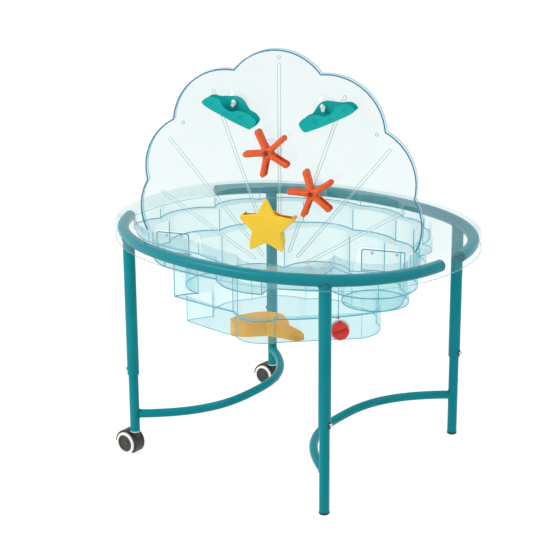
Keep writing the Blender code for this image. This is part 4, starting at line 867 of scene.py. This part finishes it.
# ------------------------------------------------------------------ suction cups
HUBS = {"chute_left": (-0.110, 0.972), "chute_right": (0.1295, 0.9735), "starfish_upper": (-0.015, 0.8507),
        "starfish_lower": (0.1043, 0.7506), "star_bucket": (-0.0123, 0.6580)}
KNOB_AT = {"chute_left": 0.0205, "chute_right": 0.0205, "starfish_upper": 0.0455, "starfish_lower": 0.0455, "star_bucket": 0.0195}
for nm, (u, z) in HUBS.items():
    m = on_panel(u, z)
    bell = rounded([(0.0290, 0.0004), (0.0284, 0.0018), (0.0215, 0.0058), (0.0130, 0.0086), (0.0078, 0.0112), (0.0060, 0.0135), (0.0046, 0.0150)], 0.0030, 3)
    piece(lathe("cup", bell, m, 56), "v_suction_cup_" + nm, "table", CLEAR_CUP, "clear_plastic", "suction_cup_" + nm, angle=60)
    kz = KNOB_AT[nm]
    post = rounded([(0.0045, 0.0145), (0.0045, kz), (0.0066, kz + 0.0004), (0.0070, kz + 0.0024), (0.0052, kz + 0.0042), (0.0, kz + 0.0046)], 0.0009, 3)
    if nm.startswith("starfish"):
        post = rounded([(0.0044, 0.0145), (0.0044, kz), (0.0052, kz + 0.0004), (0.0052, kz + 0.0018), (0.0030, kz + 0.0030), (0.0, kz + 0.0022)], 0.0007, 3)
    piece(lathe("post", post, m, 32), "v_suction_post_" + nm, "table", CLEAR_HEAD if nm.startswith("starfish") else CLEAR_KNOB, "clear_plastic", angle=60)
    if nm.startswith("chute"):
        # the head is pinched in the middle into two round pads
        for side_k, dy in (("upper", 0.0049), ("lower", -0.0052)):
            pad = rounded([(0.0, -0.0030), (0.0040, -0.0030), (0.0054, -0.0006), (0.0050, 0.0020), (0.0, 0.0032)], 0.0012, 4)
            piece(lathe("pad", pad, on_panel(u + 0.0012 * (1 if dy > 0 else -1) * (1 if nm == "chute_left" else -1), z + dy, kz + 0.0066), 28),
                  "v_suction_pad_%s_%s" % (nm, side_k), "table", CLEAR_KNOB, "clear_plastic", angle=60)
    piece(rod("lip", [tuple(m @ Vector((0.0288 * cos(2 * pi * i / 56), 0.0288 * sin(2 * pi * i / 56), 0.0010))) for i in range(56)], 0.0007, 8, closed=True),
          "v_suction_lip_" + nm, "table", CLEAR_RIB, "clear_plastic")

# ------------------------------------------------------------------ starfish wheels
STAR_R, ARM_W = 0.0655, 0.0150
SF0, SF1 = 0.0185, 0.0500


def arm_section(open_k):
    """Rounded bar section, (across, depth) about its middle, with a channel of the given openness in its +across side."""
    h, d, r, g = ARM_W / 2, (SF1 - SF0) / 2, 0.0052, 0.0088
    pts = []
    for cx, cy, t0 in ((h - r, -d + r, 0.0), (-h + r, -d + r, -pi / 2), (-h + r, d - r, -pi), (h - r, d - r, -1.5 * pi)):
        pts += [(cx + r * cos(t0 - pi / 2 * i / 5), cy + r * sin(t0 - pi / 2 * i / 5)) for i in range(6)]
    bottom = h - 0.0003 - (h + 0.0012) * open_k
    lip = 0.0012
    pts += [(h - 0.0002, g + lip), (h - lip * open_k, g), (bottom + 0.002 * open_k, g), (bottom, g - 0.0025), (bottom, 0.0),
            (bottom, -g + 0.0025), (bottom + 0.002 * open_k, -g), (h - lip * open_k, -g), (h - 0.0002, -g - lip)]
    return pts


for nm, start in (("starfish_upper", 43.0), ("starfish_lower", 33.5)):
    u, z = HUBS[nm]
    m = on_panel(u, z) @ Matrix.Rotation(radians(start), 4, "Z")
    bm = bmesh.new()
    for k in range(5):
        a = m @ Matrix.Rotation(2 * pi * k / 5, 4, "Z")
        rings = []
        stations = [0.0095, 0.016, 0.0215, 0.0235, 0.0265, 0.034, 0.042, 0.050, 0.0565]
        stations += [0.0580 + 0.0073 * sin(pi / 2 * i / 7) for i in range(8)]
        for st in stations:
            open_k = min(1.0, max(0.0, (st - 0.0215) / 0.0035))
            tip = max(0.0, (st - 0.0580) / (STAR_R - 0.0580))
            kt = max(0.42, sqrt(max(0.0, 1 - tip * tip)))
            kd = 1 - 0.30 * tip * tip
            # the arm is slightly waisted half way along
            waist = 1 - 0.07 * sin(pi * min(1.0, max(0.0, (st - 0.012) / 0.046)))
            rings.append([bm.verts.new(a @ Vector((st, t * kt * waist, (SF0 + SF1) / 2 + d * kd))) for t, d in arm_section(open_k)])
        n = len(rings[0])
        for p, q in zip(rings, rings[1:]):
            for j in range(n):
                bm.faces.new((p[j], p[(j + 1) % n], q[(j + 1) % n], q[j]))
        bm.faces.new(rings[0])
        bm.faces.new(rings[-1])
    bmesh.ops.recalc_face_normals(bm, faces=bm.faces)
    arms = obj_from(bm, nm)
    hub = rounded([(0.0050, SF0), (0.0142, SF0), (0.0142, SF1), (0.0072, SF1), (0.0072, 0.0452), (0.0050, 0.0452)], 0.0022, 4)
    piece(merge(arms, lathe("hub", hub, m, 48, closed=True)), "v_" + nm, nm, STARFISH, "orange_plastic", nm, angle=48)

# ------------------------------------------------------------------ star bucket
def star_outline(ro, ri, tip_r, root_r, fine=10):
    raw = []
    for k in range(10):
        a = pi / 2 + pi * k / 5
        r = ro if k % 2 == 0 else ri
        raw.append(Vector((r * cos(a), r * sin(a))))
    pts = []
    for k in range(10):
        p, c, n = raw[k - 1], raw[k], raw[(k + 1) % 10]
        e1, e2 = (p - c).normalized(), (n - c).normalized()
        t = (tip_r if k % 2 == 0 else root_r) / tan(e1.angle(e2) / 2)
        a, b = c + e1 * t, c + e2 * t
        for i in range(fine + 1):
            w = i / fine
            pts.append(tuple(a * (1 - w) ** 2 + c * 2 * w * (1 - w) + b * w ** 2))
    return pts


bm_ = on_panel(*HUBS["star_bucket"])
outer = star_outline(0.0845, 0.0420, 0.0085, 0.010)
s = solid("star", outer, 0.0160, 0.0620, bm_)
soften(s, 0.0026, 4, 35)
boolean(s, solid("in", offset(outer, -0.0026), 0.0186, 0.0592, bm_))
mouth = [(-0.0660, 0.0185), (-0.0235, 0.0275), (0.0235, 0.0275), (0.0660, 0.0185), (0.0660, 0.1000), (-0.0660, 0.1000)]
boolean(s, solid("mouth", mouth, 0.0187, 0.0591, bm_))
# the back plate ends in a low hump above the post
hump = [(-0.0700, 0.0215), (-0.0300, 0.0245), (-0.0200, 0.0290), (-0.0080, 0.0330), (0.0080, 0.0330), (0.0200, 0.0290), (0.0300, 0.0245), (0.0700, 0.0215),
        (0.0700, 0.1000), (-0.0700, 0.1000)]
boolean(s, solid("top", hump, 0.0120, 0.0192, bm_))
boolean(s, lathe("bore", [(0.0, 0.008), (0.0050, 0.008), (0.0050, 0.030), (0.0, 0.030)], bm_, 28))
piece(s, "v_star_bucket", "star_bucket", STAR, "yellow_plastic", "star_bucket", angle=28)
# the faces inside the bucket (inner floor, inner roof and inner walls) take the darker copy: painted shade
s.data.materials.append(STAR_PAINTED_SHADE)
back = bm_.inverted()
for f in s.data.polygons:
    c, n = back @ f.center, back.to_3x3() @ f.normal
    near = min(abs((c.x - p[0]) * (q[1] - p[1]) - (c.y - p[1]) * (q[0] - p[0])) / max(hypot(q[0] - p[0], q[1] - p[1]), 1e-6)
               for p, q in zip(outer, outer[1:] + outer[:1]) if hypot(c.x - (p[0] + q[0]) / 2, c.y - (p[1] + q[1]) / 2) < 0.022) if 0.0190 < c.z < 0.0588 else 0
    if (abs(c.z - 0.0186) < 0.0003 and n.z > 0.7) or (abs(c.z - 0.0592) < 0.0003 and n.z < -0.7) or near > 0.0013:
        f.material_index = 1
# the side walls below the mouth draw in towards the back
for v in s.data.vertices:
    c = back @ v.co
    t = min(1.0, max(0.0, (c.z - 0.016) / 0.046))
    w = min(1.0, max(0.0, (0.012 - c.y) / 0.030))
    k = 1 - 0.17 * w * (1 - t)
    v.co = bm_ @ Vector((c.x * k, c.y * k, c.z))

# ------------------------------------------------------------------ chutes
CH_TOP = [(-0.0750, 0.0040), (-0.0640, 0.0165), (-0.0500, 0.0190), (-0.0370, 0.0165), (-0.0167, 0.0175), (0.0060, 0.0185),
          (0.0200, 0.0140), (0.0300, 0.0045), (0.0430, -0.0150), (0.0585, -0.0238), (0.0697, -0.0395)]
CH_LOW = [(0.0553, -0.0579), (0.0350, -0.0525), (0.0050, -0.0400), (-0.0300, -0.0235), (-0.0600, -0.0085)]
CH_DIP = [(-0.0376, 0.0165), (-0.0262, 0.0122), (-0.0179, -0.0037), (0.0019, -0.0151), (0.0247, -0.0121),
          (0.0416, -0.0166), (0.0585, -0.0238)]
CH_SHIFT = {"chute_left": 0.0, "chute_right": 0.0155}
CH_D0, CH_D1, CH_T = 0.0170, 0.0560, 0.0026


def smooth_loop(pts, n=6):
    """Catmull-Rom through the points of a closed line."""
    out = []
    P = [Vector(p) for p in pts]
    for i in range(len(P)):
        a, b, c, d = P[i - 1], P[i], P[(i + 1) % len(P)], P[(i + 2) % len(P)]
        for k in range(n):
            t = k / n
            v = 0.5 * ((2 * b) + (c - a) * t + (2 * a - 5 * b + 4 * c - d) * t * t + (3 * b - a - 3 * c + d) * t ** 3)
            out.append((v.x, v.y))
    return out


def smooth_line(pts, n=6):
    """Catmull-Rom through the points of an open line."""
    out = []
    P = [Vector(pts[0]) * 2 - Vector(pts[1])] + [Vector(p) for p in pts] + [Vector(pts[-1]) * 2 - Vector(pts[-2])]
    for i in range(1, len(P) - 2):
        for k in range(n):
            t = k / n
            a, b, c, d = P[i - 1], P[i], P[i + 1], P[i + 2]
            v = 0.5 * ((2 * b) + (c - a) * t + (2 * a - 5 * b + 4 * c - d) * t * t + (3 * b - a - 3 * c + d) * t ** 3)
            out.append((v.x, v.y))
    out.append(tuple(P[-2]))
    return out


for nm, sgn in (("chute_left", 1), ("chute_right", -1)):
    u, z = HUBS[nm]
    m = on_panel(u, z)
    dx = CH_SHIFT[nm]
    turn = -sgn

    def flat(line):
        pts = [(sgn * x + dx, y) for x, y in line]
        return pts[::turn]

    c = solid(nm, flat(smooth_loop(CH_TOP + CH_LOW, 6)), CH_D0, CH_D1, m)
    line = [(x - 0.0010, y + 0.0030) for x, y in smooth_line(CH_LOW, 5)]
    hollow = [(line[0][0] + 0.030, line[0][1] - 0.007)] + line + [(-0.0720, 0.0010), (-0.0900, 0.0200), (-0.0900, 0.0500), (0.1000, 0.0500)]
    boolean(c, solid("h", flat(hollow), CH_D0 + CH_T, CH_D1 - CH_T, m))
    dip = smooth_line(CH_DIP, 6) + [(0.0800, -0.0150), (0.0800, 0.0600), (-0.0376, 0.0600)]
    boolean(c, solid("dip", flat(dip), CH_D1 - CH_T - 0.0010, CH_D1 + 0.010, m))
    boolean(c, lathe("bore", [(0.0, 0.010), (0.0050, 0.010), (0.0050, 0.026), (0.0, 0.026)], m, 28))
    soften(c, 0.0009, 3, 40)
    piece(c, "v_" + nm, nm, CHUTE, "teal_plastic", nm, angle=34)
    # raised wave curls on the front wall
    for j, (cx, cy, r0, spin) in enumerate(((-0.0490, 0.0035, 0.0062, 0.5), (-0.0120, -0.0205, 0.0060, 2.4), (0.0270, -0.0300, 0.0062, 0.2))):
        curl = []
        for i in range(27):
            t = i / 26
            r = r0 * (1 - 0.78 * t)
            curl.append((cx + r * cos(spin + 7.5 * t), cy + r * sin(spin + 7.5 * t)))
        rp = [tuple(m @ Vector((sgn * x + dx, y, CH_D1 + 0.0001))) for x, y in curl]
        piece(rod("w", rp, 0.00085, 8), "v_%s_wave_%d" % (nm, j), nm, CHUTE, "teal_plastic")

# ------------------------------------------------------------------ fish block
FISH_PTS = [(-0.083, -0.180, 0.25), (-0.060, -0.196, 0.20), (-0.020, -0.178, 0.0), (0.012, -0.146, 0.06), (0.050, -0.138, 0.06),
            (0.096, -0.134, 0.25), (0.108, -0.112, 0.25), (0.088, -0.098, 0.0), (0.055, -0.102, 0.10), (0.020, -0.076, 0.30),
            (-0.050, -0.088, 0.20)]
f = solid("fish", lobed(FISH_PTS, 0.005), Z4 + GAP, Z4 + 0.040)
slope = Matrix.Translation((0.010, -0.120, Z4 + 0.0405)) @ Matrix.Rotation(radians(17.0), 4, "Y")
boolean(f, solid("slope", [(0.0, -0.1), (0.16, -0.1), (0.16, 0.1), (0.0, 0.1)], 0.0, 0.06, slope))
soften(f, 0.0035, 4, 30)
piece(f, "v_fish_block", "fish_block", FISH, "amber_plastic", "fish_block", angle=28)

# ------------------------------------------------------------------ floor and light
fl = Nodes("pale_floor")
fc = fl.mix(fl.ramp(fl.noise(1.2, 3.0), 0.3, 0.7), (0.90, 0.90, 0.90), (0.94, 0.94, 0.94))
matt = fl.put("BsdfDiffuse", {"Color": fc}).outputs[0]
glow = fl.put("Emission", {"Color": (1, 1, 1), "Strength": 1.10}).outputs[0]
fl.finish(fl.put("MixShader", {0: 0.80, 1: matt, 2: glow}).outputs[0])
bm = bmesh.new()
bmesh.ops.create_grid(bm, x_segments=4, y_segments=4, size=16.0)
floor = obj_from(bm, "floor")
floor.location.z = -0.0003
floor.data.materials.append(fl.mat)

world = bpy.data.worlds.new("studio")
SCENE.world = world
world.use_nodes = True
bg = world.node_tree.nodes["Background"]
bg.inputs["Color"].default_value = (1.0, 1.0, 1.0, 1)
bg.inputs["Strength"].default_value = 0.74


def area(name, loc, target, size, power, colour=(1, 1, 1)):
    li = bpy.data.lights.new(name, "AREA")
    li.shape, li.size, li.energy, li.color = "SQUARE", size, power, colour
    ob = bpy.data.objects.new(name, li)
    ob.location = loc
    ob.rotation_mode = "QUATERNION"
    ob.rotation_quaternion = (Vector(target) - Vector(loc)).to_track_quat("-Z", "Y")
    SCENE.collection.objects.link(ob)
    return ob


area("key", (-1.9, -3.3, 2.9), (0, 0, 0.6), 1.7, 128)
area("fill", (3.4, 0.4, 2.2), (0, 0, 0.6), 2.0, 22)
area("top", (1.0, 1.6, 3.9), (0, 0, 0.6), 1.6, 40)
SCENE.view_settings.view_transform = "Standard"
